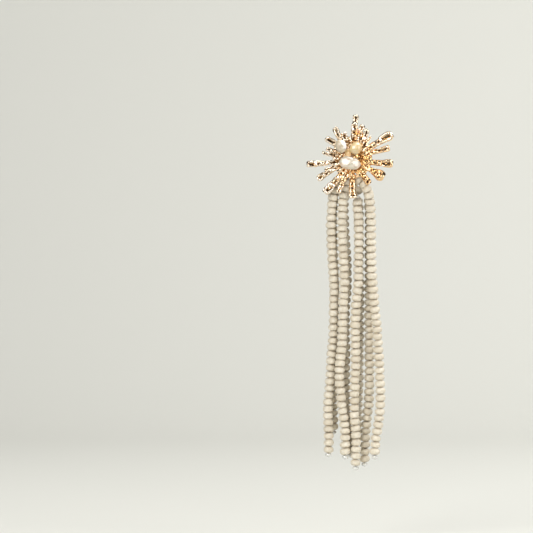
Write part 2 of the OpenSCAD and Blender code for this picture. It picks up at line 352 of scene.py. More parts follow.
@dataclass
class Look:
    """A material in the making.

    Attributes:
        name: The name of the material.
        effects: The shared node groups, for a look that has a pattern.
        material: The material itself.
    """

    name: str
    effects: Effects | None = None
    material: bpy.types.Material = field(init=False)

    def __post_init__(self) -> None:
        """Start the material with a shader and its output."""
        self.material = bpy.data.materials.new(self.name)
        self.material.use_nodes = True
        self.material.node_tree.nodes.clear()
        self.shader = self.add("ShaderNodeBsdfPrincipled")
        output = self.add("ShaderNodeOutputMaterial")
        self.link(self.shader.outputs["BSDF"], output.inputs["Surface"])
        self.place = self.add("ShaderNodeTexCoord").outputs["Object"]

    def add(self, kind: str, **values: object) -> bpy.types.Node:
        """Add a node and set its properties.

        Args:
            kind: The node's type.
            values: The properties by name.

        Returns:
            The node.
        """
        return add_node(self.material.node_tree, kind, **values)

    def link(self, source: bpy.types.NodeSocket, target: bpy.types.NodeSocket) -> None:
        """Link two sockets."""
        self.material.node_tree.links.new(source, target)

    def set(self, **values: object) -> None:
        """Set plain values on the shader's sockets, with spaces in their names written as underscores."""
        for name, value in values.items():
            self.shader.inputs[name.replace("_", " ")].default_value = value

    def group(self, tree: bpy.types.NodeTree, **values: object) -> bpy.types.Node:
        """Place a node group that takes the object's coordinates.

        Args:
            tree: The group.
            values: The values of its inputs by name.

        Returns:
            The group's node.
        """
        node = self.add("ShaderNodeGroup")
        node.node_tree = tree
        self.link(self.place, node.inputs["Place"])
        for name, value in values.items():
            socket = node.inputs[name.replace("_", " ")]
            if isinstance(value, bpy.types.NodeSocket):
                self.link(value, socket)
            else:
                socket.default_value = value
        return node

    def attribute(self, name: str) -> bpy.types.NodeSocket:
        """Read a number that the mesh carries at each point.

        Args:
            name: The attribute.

        Returns:
            Its socket.
        """
        return self.add("ShaderNodeAttribute", attribute_name=name).outputs["Fac"]

    def drift(self, scale: float, spread: float, first: Colour, second: Colour) -> bpy.types.Node:
        """Drift between two colours in soft clouds.

        Args:
            scale: The fineness of the clouds.
            spread: How sharply they part.
            first: The one colour.
            second: The other colour.

        Returns:
            The node that gives the colour, and the mask of the second one.
        """
        return self.group(
            self.effects.tone, Scale=scale, Spread=spread, First=opaque(first), Second=opaque(second)
        )

    def lay(
        self, under: bpy.types.Node, over: Colour, mask: bpy.types.NodeSocket, amount: float, scale: float
    ) -> bpy.types.Node:
        """Lay a colour over another along a mask, with an uneven border.

        Args:
            under: The node that gives the colour below.
            over: The colour above.
            mask: Where it lies, from 0 to 1.
            amount: How strong it is.
            scale: The fineness of the border.

        Returns:
            The node that gives the colour.
        """
        return self.group(
            self.effects.border, Scale=scale, Mask=mask, Amount=amount,
            Under=under.outputs["Colour"], Over=opaque(over),
        )

    def dress(self, colour: bpy.types.Node, pit_scale: float, pit_depth: float) -> bpy.types.Material:
        """Colour the surface and roughen it with fine pits.

        Args:
            colour: The node that gives the colour.
            pit_scale: The fineness of the pits.
            pit_depth: Their depth, in metres.

        Returns:
            The finished material.
        """
        self.link(colour.outputs["Colour"], self.shader.inputs["Base Color"])
        pits = self.group(self.effects.pits, Scale=pit_scale)
        bump = self.add("ShaderNodeBump")
        bump.inputs["Distance"].default_value = pit_depth
        self.link(pits.outputs["Height"], bump.inputs["Height"])
        self.link(bump.outputs["Normal"], self.shader.inputs["Normal"])
        return self.material


def add_node(tree: bpy.types.NodeTree, kind: str, **values: object) -> bpy.types.Node:
    """Add a node to a tree.

    Args:
        tree: The tree.
        kind: The node's type.
        values: Its properties by name.

    Returns:
        The node.
    """
    node = tree.nodes.new(kind)
    for name, value in values.items():
        setattr(node, name, value)
    return node


def opaque(colour: Colour) -> tuple[float, float, float, float]:
    """Give a colour its full alpha."""
    return (*colour, 1.0)


@dataclass
class Effect:
    """A shader node group in the making.

    Attributes:
        name: The name of the group.
        takes: Its inputs: name, and kind of socket.
        gives: Its outputs: name, and kind of socket.
    """

    name: str
    takes: dict[str, str]
    gives: dict[str, str]

    def __post_init__(self) -> None:
        """Make the group with its sockets."""
        self.tree = bpy.data.node_groups.new(self.name, "ShaderNodeTree")
        for way, sockets in (("INPUT", self.takes), ("OUTPUT", self.gives)):
            for name, kind in sockets.items():
                self.tree.interface.new_socket(name=name, in_out=way, socket_type=f"NodeSocket{kind}")
        self.inlet = add_node(self.tree, "NodeGroupInput").outputs
        self.outlet = add_node(self.tree, "NodeGroupOutput").inputs

    def add(
        self, kind: str, links: dict[int | str, bpy.types.NodeSocket], **values: object
    ) -> bpy.types.Node:
        """Add a node and link its inputs.

        Args:
            kind: The node's type.
            links: The sockets that feed its inputs, by name or number.
            values: Its properties by name.

        Returns:
            The node.
        """
        node = add_node(self.tree, kind, **values)
        for target, source in links.items():
            self.tree.links.new(source, node.inputs[target])
        return node

    def noise(
        self, kind: str = "ShaderNodeTexNoise", detail: float | None = None, **values: object
    ) -> bpy.types.Node:
        """Add a pattern that reads the group's place and scale.

        Args:
            kind: The node's type.
            detail: How much fine detail it has.
            values: Its properties by name.

        Returns:
            The node.
        """
        node = self.add(kind, {"Vector": self.inlet["Place"], "Scale": self.inlet["Scale"]}, **values)
        if detail is not None:
            node.inputs["Detail"].default_value = detail
        return node

    def reckon(
        self, operation: str, *terms: bpy.types.NodeSocket | float, clamp: bool = False
    ) -> bpy.types.NodeSocket:
        """Reckon with sockets and numbers.

        Args:
            operation: What a math node is to do.
            terms: Its inputs in their order.
            clamp: Whether the result is kept between 0 and 1.

        Returns:
            The socket of the result.
        """
        node = add_node(self.tree, "ShaderNodeMath", operation=operation, use_clamp=clamp)
        for term, socket in zip(terms, node.inputs):
            if isinstance(term, bpy.types.NodeSocket):
                self.tree.links.new(term, socket)
            else:
                socket.default_value = term
        return node.outputs[0]

    def blend(self, mask: bpy.types.NodeSocket, under: str, over: str) -> None:
        """Give the mask, and one of the group's colours over another along it.

        Args:
            mask: The mask.
            under: The input with the colour below.
            over: The input with the colour above.
        """
        mix = self.add(
            "ShaderNodeMix", {"Factor": mask, 6: self.inlet[under], 7: self.inlet[over]}, data_type="RGBA"
        )
        self.give("Colour", mix.outputs[2])
        self.give("Mask", mask)

    def give(self, name: str, source: bpy.types.NodeSocket) -> None:
        """Feed an output of the group."""
        self.tree.links.new(source, self.outlet[name])


def cloudy_tone() -> bpy.types.NodeTree:
    """Make the group that drifts between two colours in soft clouds.

    Returns:
        The group: its colour, and the mask of the second colour.
    """
    takes = {"Place": "Vector", "Scale": "Float", "Spread": "Float", "First": "Color", "Second": "Color"}
    effect = Effect("Cloudy tone", takes, {"Colour": "Color", "Mask": "Float"})
    noise = effect.noise(detail=4)
    noise.inputs["Distortion"].default_value = 0.6
    centred = effect.reckon("SUBTRACT", noise.outputs["Fac"], 0.5)
    mask = effect.reckon("MULTIPLY_ADD", centred, effect.inlet["Spread"], 0.5, clamp=True)
    effect.blend(mask, "First", "Second")
    return effect.tree


def broken_mask() -> bpy.types.NodeTree:
    """Make the group that lays a colour over another along a mask, with an uneven border.

    Returns:
        The group: its colour, and the broken mask.
    """
    takes = {
        "Place": "Vector", "Scale": "Float", "Mask": "Float", "Amount": "Float",
        "Under": "Color", "Over": "Color",
    }
    effect = Effect("Broken mask", takes, {"Colour": "Color", "Mask": "Float"})
    uneven = effect.reckon("MULTIPLY", effect.noise(detail=3).outputs["Fac"], effect.inlet["Mask"])
    amount = effect.reckon("MULTIPLY", uneven, effect.inlet["Amount"])
    # The noise is a half on the average, so it is doubled.
    effect.blend(effect.reckon("MULTIPLY", amount, 2.0, clamp=True), "Under", "Over")
    return effect.tree


def fine_pits() -> bpy.types.NodeTree:
    """Make the group that roughens a surface with fine pits.

    Returns:
        The group: its height from 0 to 1.
    """
    effect = Effect("Fine pits", {"Place": "Vector", "Scale": "Float"}, {"Height": "Float"})
    cells = effect.noise("ShaderNodeTexVoronoi", feature="SMOOTH_F1")
    noise = effect.noise(detail=5)
    effect.give("Height", effect.reckon("MULTIPLY", cells.outputs["Distance"], noise.outputs["Fac"]))
    return effect.tree


@dataclass(frozen=True)
class Plating:
    """Pale gold plating over a cast or turned metal.

    Attributes:
        name: The material's name.
        bright: The usual colour.
        warm: The colour of the warmer clouds.
        ember: The orange laid where the mark thick is high: towards the right and below, and in two pools.
        hollow_edge_shade: The orange of the painted shade at the edges of the hollows.
        hollow: The near black of the painted shade deeper in the hollows.
        polish: The shader's roughness where the plating is smooth.
        wear: How much rougher it gets in clouds.
        grain: The height of the fine pits, in metres.
    """

    name: str
    bright: Colour = (0.90, 0.81, 0.70)
    warm: Colour = (0.87, 0.69, 0.48)
    ember: Colour = (0.90, 0.53, 0.20)
    # The next two colours are painted shade in the hollows.
    hollow_edge_shade: Colour = (0.84, 0.45, 0.15)
    hollow: Colour = (0.06, 0.03, 0.015)
    polish: float = 0.10
    wear: float = 0.12
    grain: float = 0.00002

    def material(self, effects: Effects) -> bpy.types.Material:
        """Make the material.

        Args:
            effects: The shared node groups.

        Returns:
            The material.
        """
        look = Look(self.name, effects)
        look.set(Metallic=1.0)
        tone = look.drift(260.0, 2.4, self.bright, self.warm)
        # More orange towards the right and below, and in two pools, by the mark thick.
        thick = look.lay(tone, self.ember, look.attribute("thick"), amount=1.0, scale=420.0)
        hollow = look.attribute("hollow")
        # Painted shade in the hollows: orange at their edges, near black deeper in.
        edge = look.lay(thick, self.hollow_edge_shade, hollow, amount=2.4, scale=550.0)
        painted_shade = look.lay(edge, self.hollow, hollow, amount=1.6, scale=700.0)
        rough = look.add("ShaderNodeMapRange")
        rough.inputs["To Min"].default_value = self.polish
        rough.inputs["To Max"].default_value = self.polish + self.wear
        look.link(tone.outputs["Mask"], rough.inputs["Value"])
        look.link(rough.outputs["Result"], look.shader.inputs["Roughness"])
        return look.dress(painted_shade, pit_scale=2600.0, pit_depth=self.grain)


@dataclass(frozen=True)
class Nacre:
    """The lustre of a baroque pearl.

    Attributes:
        body: The usual colour.
        cream: The warmer colour of the clouds.
        blush: The pink tint.
        leaf: The green tint.
    """

    body: Colour = (0.57, 0.48, 0.365)
    cream: Colour = (0.55, 0.43, 0.29)
    blush: Colour = (0.90, 0.70, 0.62)
    leaf: Colour = (0.72, 0.86, 0.76)

    def material(self, effects: Effects) -> bpy.types.Material:
        """Make the material.

        Args:
            effects: The shared node groups.

        Returns:
            The material.
        """
        look = Look("Pearl nacre", effects)
        look.set(
            Roughness=0.25, Coat_Weight=1.0, Coat_Roughness=0.07, Coat_IOR=1.6, Subsurface_Weight=0.2,
            Subsurface_Scale=0.0010, Subsurface_Radius=(1.0, 0.8, 0.6), Specular_IOR_Level=0.65,
        )
        cream = look.drift(170.0, 2.2, self.body, self.cream)
        pink = look.drift(420.0, 7.0, BLACK, WHITE).outputs["Mask"]
        blushed = look.lay(cream, self.blush, pink, amount=0.35, scale=300.0)
        green = look.drift(610.0, 8.0, BLACK, WHITE).outputs["Mask"]
        tinted = look.lay(blushed, self.leaf, green, amount=0.22, scale=520.0)
        return look.dress(tinted, pit_scale=900.0, pit_depth=0.00003)


@dataclass(frozen=True)
class Gemstone:
    """A tumbled, half clear stone.

    Attributes:
        name: The material's name.
        clear: The usual colour.
        vein: The colour of its veins and clouds.
        painted_glow: The colour of a painted glow on one side, as if light gathered in the stone there.
        painted_glow_amount: How strong that painted glow is.
        clarity: How far light spreads in it, in metres.
        lustre: The weight of its polish.
    """

    name: str
    clear: Colour
    vein: Colour
    painted_glow: Colour
    painted_glow_amount: float = 0.9
    clarity: float = 0.0012
    lustre: float = 0.9

    def material(self, effects: Effects) -> bpy.types.Material:
        """Make the material.

        Args:
            effects: The shared node groups.

        Returns:
            The material.
        """
        look = Look(self.name, effects)
        look.set(
            Roughness=0.22, Coat_Weight=self.lustre, Coat_Roughness=0.05, Coat_IOR=1.65,
            Subsurface_Weight=0.5, Subsurface_Scale=self.clarity, Subsurface_Radius=(1.0, 0.8, 0.55),
            Specular_IOR_Level=0.6,
        )
        cloud = look.drift(330.0, 3.5, self.clear, self.vein)
        # Painted light: a glow laid on one side of the stone.
        warm = look.lay(cloud, self.painted_glow, look.attribute("painted_glow"), self.painted_glow_amount, scale=380.0)
        return look.dress(warm, pit_scale=600.0, pit_depth=0.00004)


@dataclass(frozen=True)
class SeedGlass:
    """The finish of a pressed seed bead.

    Attributes:
        name: The material's name.
        pale: The usual colour.
        dull: The colour of its clouds.
        rim: The colour of the painted shade at its ends, where it meets its neighbours.
        rim_amount: How strong that painted shade is.
        polish: The roughness of its surface.
        sheen_coat: The weight of the clear coat.
        metal: How metallic its lining looks.
    """

    name: str
    pale: Colour
    dull: Colour
    rim: Colour
    rim_amount: float = 0.5
    polish: float = 0.62
    sheen_coat: float = 0.0
    metal: float = 0.0

    def material(self, effects: Effects) -> bpy.types.Material:
        """Make the material.

        Args:
            effects: The shared node groups.

        Returns:
            The material.
        """
        look = Look(self.name, effects)
        look.set(
            Roughness=self.polish, Coat_Weight=self.sheen_coat, Coat_Roughness=0.08, Metallic=self.metal,
            Subsurface_Weight=0.12, Subsurface_Scale=0.0006, Subsurface_Radius=(1.0, 0.85, 0.6),
        )
        cloud = look.drift(950.0, 2.6, self.pale, self.dull)
        each = look.lay(cloud, self.dull, look.attribute("tone"), amount=0.8, scale=90.0)
        # Painted shade at the ends of each bead, where it meets its neighbours.
        shaded_ends = look.lay(each, self.rim, look.attribute("rim"), self.rim_amount, scale=1500.0)
        return look.dress(shaded_ends, pit_scale=3200.0, pit_depth=0.00005)


@dataclass(frozen=True)
class Ray:
    """One ray of the star, by the shares that its solid has.

    Attributes:
        angle: From +X towards +Z, in degrees.
        reach: Share of the star's reach.
        tip: Width of the tip as a share of the usual width.
        neck: Width of the neck as a share of the usual width.
        forward: How far the tip lies in front of the root, as a share of the usual width.
        bow: Sideways bow as a share of the usual width.
    """

    angle: float
    reach: float
    tip: float
    neck: float
    forward: float
    bow: float


RAYS = (
    Ray(86, 0.99, 1.04, 1.05, 0.30, 0.10),
    Ray(74, 0.80, 0.95, 0.85, -0.10, 0.00),
    Ray(64, 0.75, 0.88, 0.85, 0.20, -0.10),
    Ray(52, 0.66, 0.40, 0.85, -0.20, 0.00),
    Ray(33, 1.04, 1.50, 1.00, 0.30, 0.15),
    Ray(18, 0.86, 1.10, 0.70, -0.20, 0.10),
    Ray(-6, 0.90, 1.35, 0.95, 0.20, -0.10),
    Ray(-30, 0.80, 1.75, 0.75, 0.10, 0.00),
    Ray(-56, 0.66, 1.05, 0.95, 0.60, 0.00),
    Ray(-90, 0.86, 1.25, 0.80, 0.65, -0.10),
    Ray(-114, 0.81, 0.80, 0.75, 0.60, 0.00),
    Ray(-130, 0.97, 1.30, 1.10, 0.60, 0.10),
    Ray(-151, 0.90, 1.08, 0.78, 0.30, -0.15),
    Ray(-157, 0.67, 0.95, 0.85, -0.20, 0.00),
    Ray(-174, 1.03, 1.10, 0.78, 0.20, 0.10),
    Ray(167, 0.70, 0.60, 0.70, -0.20, 0.00),
    Ray(157, 0.64, 0.75, 0.80, 0.20, 0.00),
    Ray(141, 0.77, 1.05, 0.90, 0.10, -0.25),
    Ray(120, 0.82, 0.98, 0.85, 0.30, 0.15),
    Ray(109, 0.64, 1.00, 0.90, -0.10, 0.00),
)


@dataclass(frozen=True)
class Rib:
    """One short rib on the rim of the hub, as shares of the hub's radius.

    Attributes:
        angle: From +X towards +Z, in degrees.
        inner: Where it starts.
        outer: Where it ends.
        thick: How thick it is.
        rise: How far its inner end stands before the seat.
    """

    angle: float
    inner: float
    outer: float
    thick: float
    rise: float


RIBS = (
    Rib(8, 0.80, 1.28, 0.30, 0.16),
    Rib(26, 0.86, 1.34, 0.26, 0.08),
    Rib(44, 0.92, 1.36, 0.30, 0.14),
    Rib(-14, 0.82, 1.20, 0.26, 0.06),
    Rib(-34, 0.84, 1.26, 0.30, 0.18),
    Rib(-70, 0.86, 1.22, 0.28, 0.14),
    Rib(-100, 0.92, 1.24, 0.26, 0.18),
    Rib(-122, 0.90, 1.26, 0.28, 0.12),
    Rib(-142, 0.94, 1.30, 0.30, 0.18),
    Rib(-164, 1.00, 1.34, 0.28, 0.12),
    Rib(176, 1.04, 1.36, 0.26, 0.16),
    Rib(76, 1.30, 1.56, 0.28, 0.10),
    Rib(96, 1.28, 1.58, 0.26, 0.14),
)

# The discs of the hub: place across and up, and radius, as shares of the hub's radius.
HUB_DISCS = ((-0.06, -0.10, 0.88), (-0.72, 0.72, 0.62), (0.28, 0.66, 0.66), (-0.20, 1.00, 0.50))


@dataclass(frozen=True)
class Zone:
    """A part of the hub's rim where lace is strewn.

    Attributes:
        angles: Its two sides, in degrees from +X towards +Z.
        radii: Where it starts and ends, as shares of the hub's radius.
    """

    angles: tuple[float, float]
    radii: tuple[float, float]


DENSE_LACE = Zone((-62, 44), (0.60, 1.30))
THIN_LACE = Zone((-170, 190), (0.88, 1.30))


@dataclass(frozen=True)
class Pool:
    """A round place where the casting is more orange, as shares of the star's reach.

    Attributes:
        across: Its middle along X.
        up: Its middle along Z.
        radius: How far it reaches.
        amount: How orange it is in its middle.
    """

    across: float
    up: float
    radius: float
    amount: float


POOLS = (Pool(0.12, -0.05, 0.75, 0.9), Pool(0.08, 0.60, 0.12, 1.5))


def between(table: Sequence[tuple[float, float]], place: float) -> float:
    """Look a value up in a table of places and values, in a straight line between its rows.

    Args:
        table: Places and values, by rising place.
        place: Where to look.

    Returns:
        The value.
    """
    places, values = zip(*table)
    return float(numpy.interp(place, places, values))


@dataclass
class StarCasting:
    """The cast star: a hub, its rays, and a lace of small loops and grains. Sizes are millimetres.

    Attributes:
        reach: From the middle of the star to the end of a ray with a full share.
        ray_w: The usual width of a ray.
        depth_ratio: Depth of a ray over its width.
        hub_r: Radius of the hub's main disc.
        hub_t: Thickness of the hub.
        hub_round: How far the rims of its discs are rounded.
        back_y: The flat back of the hub.
        voxel: Fineness of the casting's skin.
        seed: Seed of everything uneven.
        ray_steps: The sections of a ray, without its rounded tip.
        ray_sides: The corners round a ray.
        ray_start: Where a ray starts, as a share of its reach.
        tip_chamfer: How long the rounded end of a ray is, as a share of its tip's width.
        tip_end: How wide the very end is, as a share of the tip's width.
        trough_rim: The rim beside the trough of a ray, as a share of the usual width.
        trough_depth: How deep the trough is.
        dent_rim: The rim round a dent in the side of a ray.
        dent_depth: How deep such a dent is.
        dent_share: The share of the sides' faces that have a dent.
        tip_rim: The rim round the hollow in a ray's end, as a share of its width.
        tip_depth: How deep that hollow is.
        uneven: How far the points of a ray are moved at random.
        loops: How many small loops the lace has.
        loop_r: The radius of a loop, to the middle of its bar.
        loop_bar: The radius of that bar.
        grains: How many grains of metal the lace has.
        grain_r: The radius of a grain.
        bedded: How deep the lowest of them lie in the hub.
        piled: How far the highest lie in front of those.
        dense_share: The share of them that lies where the lace is dense.
        swell_size: How far apart the swellings of the casting are.
        swell: How far they stand out and in.
        cell_size: How far apart the cells of its crust are.
        cell_depth: How deep they are.
        shade_depth: How deep a hollow has to be to hold all of the painted shade.
        shade_fade_r: How far out the painted shade fades on the hub, as a share of its radius.
        shade_fade: How much of the painted shade this takes away.
        orange_right: How much more orange the casting gets to the right.
        orange_down: How much more orange it gets downwards.
    """

    reach: float = 18.25
    ray_w: float = 2.5
    depth_ratio: float = 0.95
    hub_r: float = 5.6
    hub_t: float = 3.4
    hub_round: float = 0.5
    back_y: float = -1.15
    voxel: float = 0.17
    seed: int = 7
    ray_steps: int = 11
    ray_sides: int = 16
    ray_start: float = 0.24
    tip_chamfer: float = 0.35
    tip_end: float = 0.66
    trough_rim: float = 0.15
    trough_depth: float = 1.0
    dent_rim: float = 0.08
    dent_depth: float = 0.35
    dent_share: float = 0.35
    tip_rim: float = 0.16
    tip_depth: float = 0.6
    uneven: float = 0.09
    loops: int = 44
    loop_r: float = 0.72
    loop_bar: float = 0.24
    grains: int = 110
    grain_r: float = 0.5
    bedded: float = 0.25
    piled: float = 0.9
    dense_share: float = 0.68
    swell_size: float = 2.4
    swell: float = 0.25
    cell_size: float = 1.5
    cell_depth: float = 0.42
    shade_depth: float = 0.14
    shade_fade_r: float = 1.6
    shade_fade: float = 0.75
    orange_right: float = 0.45
    orange_down: float = 0.35

    def __post_init__(self) -> None:
        """Work out the depths that follow from the hub, and start the chances of all that is uneven."""
        self.seat_y = self.back_y - self.hub_t
        self.root_y = self.seat_y + 0.1 * self.hub_t
        self.chance = random.Random(self.seed)

    def ray(self, row: Ray) -> bpy.types.Object:
        """Model one ray: an uneven bar with a trough down its front and hollows near its tip.

        Args:
            row: The ray's shares.

        Returns:
            The ray in its place on the star.
        """
        reach = row.reach * self.reach
        tip = row.tip * self.ray_w
        neck = row.neck * self.ray_w
        first = self.ray_start * reach
        chamfer = self.tip_chamfer * tip
        bar = reach - chamfer - first
        # How wide the ray is at each share of its length.
        widths = ((0, self.ray_w), (0.35, neck), (0.65, (2 * neck + tip) / 3), (0.86, tip), (1, 1.04 * tip))
        stations = []
        for step in range(self.ray_steps + 2):
            share = min(step / self.ray_steps, 1)
            at_end = step > self.ray_steps
            swell = 1 + 0.06 * math.sin(7 * share + row.angle) + self.chance.uniform(-0.05, 0.05)
            half = between(widths, share) / 2 * (swell if step < self.ray_steps else 1)
            half *= self.tip_end if at_end else 1
            shallow = 0.8 + 0.2 * min(3 * share, 1)
            deep = half * self.depth_ratio * shallow * self.chance.uniform(0.9, 1.04)
            x = first + share * bar + (chamfer if at_end else 0)
            y = self.root_y - row.forward * self.ray_w * share
            z = row.bow * self.ray_w * math.sin(math.pi * share)
            stations.append(Station(Vector((x, y, z)), half, deep))
        piece = draw_out("ray", stations, self.ray_sides)
        self.hollow_out(piece, first, bar, tip)
        piece.rotation_euler = (0, -math.radians(row.angle), 0)
        settle(piece)
        return piece

    def hollow_out(self, piece: bpy.types.Object, first: float, bar: float, tip: float) -> None:
        """Sink the trough and the hollows of a ray.

        Args:
            piece: The ray's bar, along X.
            first: Where the bar starts.
            bar: How long it is.
            tip: How wide its tip is.
        """
        def share(centre: Vector) -> float:
            """Place along the bar, from 0 to 1."""
            return (centre.x - first) / bar

        # The steps at which the trough is bridged.
        bridges = {self.chance.randrange(2, 9) for _ in range(3)}
        with editing(piece):
            pick_faces(
                piece,
                lambda centre, normal: normal.y < -0.78 and 0.1 < share(centre) < 0.98
                and int(share(centre) * self.ray_steps) not in bridges,
            )
            bpy.ops.mesh.inset(thickness=self.trough_rim * self.ray_w, depth=-self.trough_depth)
            put_in_order()
            pick_faces(
                piece,
                lambda centre, normal: abs(normal.z) > 0.7 and abs(normal.x) < 0.6 and share(centre) > 0.1
                and self.chance.random() < self.dent_share,
            )
            bpy.ops.mesh.inset(thickness=self.dent_rim, depth=-self.dent_depth)
            pick_faces(piece, lambda centre, normal: normal.x > 0.8 and share(centre) > 0.95)
            bpy.ops.mesh.inset(thickness=self.tip_rim * tip, depth=-self.tip_depth)
            put_in_order()
            bpy.ops.transform.vertex_random(offset=self.uneven, seed=self.chance.randrange(1000))
        piece.modifiers.new("Round", "SUBSURF").levels = 1
        apply_modifiers(piece)

    def disc(self, across: float, up: float, radius: float) -> bpy.types.Object:
        """Model one disc of the hub, with rounded rims.

        Args:
            across: Place along X as a share of the hub's radius.
            up: Place along Z as a share of the hub's radius.
            radius: Its radius as a share of the hub's radius.

        Returns:
            The disc.
        """
        deselect()
        middle = (across * self.hub_r, self.back_y - self.hub_t / 2, up * self.hub_r)
        bpy.ops.mesh.primitive_cylinder_add(
            vertices=32, radius=radius * self.hub_r, depth=self.hub_t, location=middle,
            rotation=(math.pi / 2, 0, 0),
        )
        piece = bpy.context.object
        settle(piece)
        with editing(piece, "EDGE"):
            pick_edges(piece, lambda middle, along: abs(along.y) < 0.1)
            bpy.ops.mesh.bevel(offset=self.hub_round, segments=3, profile=0.5, affect="EDGES")
        return piece

    def rib(self, row: Rib) -> bpy.types.Object:
        """Model a short rib on the rim of the hub.

        Args:
            row: The rib's shares.

        Returns:
            The rib in its place.
        """
        r = row.thick * self.hub_r / 2
        inner, outer = row.inner * self.hub_r, row.outer * self.hub_r
        high = self.seat_y - row.rise * self.hub_r
        stations = [
            Station(Vector((inner - 0.7 * r, high, 0)), 0.5 * r, 0.5 * r),
            Station(Vector((inner, high, 0)), r, r),
            Station(Vector(((inner + outer) / 2, (high + self.seat_y) / 2, 0)), 0.8 * r, 0.9 * r),
            Station(Vector((outer, self.seat_y, 0)), r, r),
            Station(Vector((outer + 0.7 * r, self.seat_y, 0)), 0.5 * r, 0.5 * r),
        ]
        piece = draw_out("rib", stations, 10)
        piece.rotation_euler = (0, -math.radians(row.angle), 0)
        settle(piece)
        return piece

    def loop(self) -> bpy.types.Object:
        """Model one small uneven loop of the lace, flat in the XZ plane round the origin.

        Returns:
            The loop.
        """
        deselect()
        bpy.ops.mesh.primitive_torus_add(
            major_radius=self.loop_r, minor_radius=self.loop_bar, major_segments=14, minor_segments=8,
            rotation=(math.pi / 2, 0, 0),
        )
        piece = bpy.context.object
        settle(piece)
        with editing(piece, "VERT"):
            bpy.ops.mesh.select_all(action="SELECT")
            bpy.ops.transform.resize(value=(1.15, 1.2, 0.9), center_override=(0, 0, 0))
            bpy.ops.transform.vertex_random(offset=0.05, seed=self.seed)
        return piece

    def grain(self) -> bpy.types.Object:
        """Model one grain of metal, round the origin.

        Returns:
            The grain.
        """
        deselect()
        bpy.ops.mesh.primitive_ico_sphere_add(subdivisions=2, radius=self.grain_r)
        piece = bpy.context.object
        with editing(piece, "VERT"):
            bpy.ops.mesh.select_all(action="SELECT")
            bpy.ops.transform.resize(value=(1.2, 0.9, 0.85), center_override=(0, 0, 0))
            bpy.ops.transform.vertex_random(offset=0.06, seed=self.seed + 1)
        return piece

    def lace(self) -> list[bpy.types.Object]:
        """Strew loops and grains between the rays, closer on one side of the hub.

        Returns:
            The copies.
        """
        copies = []
        for model, count, sunk in ((self.loop(), self.loops, 0.0), (self.grain(), self.grains, 0.15)):
            for _ in range(count):
                zone = DENSE_LACE if self.chance.random() < self.dense_share else THIN_LACE
                angle = math.radians(self.chance.uniform(*zone.angles))
                radius = self.hub_r * self.chance.uniform(*zone.radii)
                y = self.seat_y + self.bedded - self.chance.uniform(0, self.piled) + sunk
                place = Matrix.Translation((radius * math.cos(angle), y, radius * math.sin(angle)))
                turn = Matrix.Rotation(self.chance.uniform(0, math.tau), 4, "Y")
                tilt = Matrix.Rotation(self.chance.uniform(-0.5, 0.5), 4, "X")
                size = Matrix.Scale(self.chance.uniform(0.75, 1.2), 4)
                copies.append(copy_of(model, place @ turn @ tilt @ size))
            discard(model)
        return copies

    def cast(self) -> bpy.types.Object:
        """Join what the star is made of and melt it into one skin.

        Returns:
            The casting.
        """
        parts = [self.disc(*row) for row in HUB_DISCS]
        parts += [self.ray(row) for row in RAYS]
        parts += [self.rib(row) for row in RIBS]
        parts += self.lace()
        casting = join("star", parts)
        skin = casting.modifiers.new("Skin", "REMESH")
        skin.mode = "VOXEL"
        skin.voxel_size = self.voxel
        skin.use_smooth_shade = True
        apply_modifiers(casting)
        return casting

    def pit(self, casting: bpy.types.Object) -> None:
        """Pit the skin of the casting, and mark where painted shade lies in its hollows and where it is more
        orange.

        Args:
            casting: The casting.
        """
        swell = bpy.data.textures.new("Swell", "CLOUDS")
        swell.noise_scale = self.swell_size
        cells = bpy.data.textures.new("Cells", "VORONOI")
        cells.noise_scale = self.cell_size
        cells.weight_1, cells.weight_2 = -1, 1
        add_relief(casting, swell, self.swell)
        add_relief(casting, cells, -self.cell_depth, middle=0.25)
        soften = casting.modifiers.new("Soften", "SMOOTH")
        soften.factor = 0.5
        soften.iterations = 2
        apply_modifiers(casting)
        self.mark_painted_shade(casting)
        self.mark_orange(casting)

    def mark_painted_shade(self, casting: bpy.types.Object) -> None:
        """Mark the hollows, which hold painted shade, but most of it not on the hub, where the shade fades
        out.

        Args:
            casting: The casting.
        """
        x, _, z = read_points(casting).T
        # Painted shade: the depth of each hollow, faded out towards the middle of the hub.
        near = numpy.clip(2 - 2 * numpy.hypot(x, z) / (self.shade_fade_r * self.hub_r), 0, 1)
        mark(casting, "hollow", hollowness(casting, self.shade_depth) * (1 - self.shade_fade * near))

    def mark_orange(self, casting: bpy.types.Object) -> None:
        """Mark where the casting is more orange: in pools, and towards the right and below.

        Args:
            casting: The casting.
        """
        x, _, z = read_points(casting).T / self.reach
        # The mark thick: more orange towards the right and below, and in pools.
        thick = self.orange_right * x - self.orange_down * z
        for pool in POOLS:
            away = numpy.hypot(x - pool.across, z - pool.up) / pool.radius
            thick += pool.amount * numpy.clip(1 - away, 0, None)
        mark(casting, "thick", numpy.clip(thick, 0, 1))

    def build(self, effects: Effects) -> None:
        """Build the star and dress it.

        Args:
            effects: The shared node groups.
        """
        casting = self.cast()
        self.pit(casting)
        hold_inside(casting, "star_casting")
        finish(casting, Plating("Champagne casting").material(effects), ["star_casting"])


def hollowness(piece: bpy.types.Object, depth: float) -> numpy.ndarray:
    """Find how deep each point of a mesh lies under its smoothed shape.

    Args:
        piece: The piece.
        depth: The depth that counts as fully hollow.

    Returns:
        A number from 0 to 1 for each point.
    """
    smooth = copy_of(piece, Matrix.Identity(4))
    even = smooth.modifiers.new("Even", "SMOOTH")
    even.factor = 0.5
    even.iterations = 45
    apply_modifiers(smooth)
    under = ((read_points(smooth) - read_points(piece)) * read_points(smooth, "normal")).sum(axis=1)
    discard(smooth)
    return numpy.clip(under / depth, 0, 1)


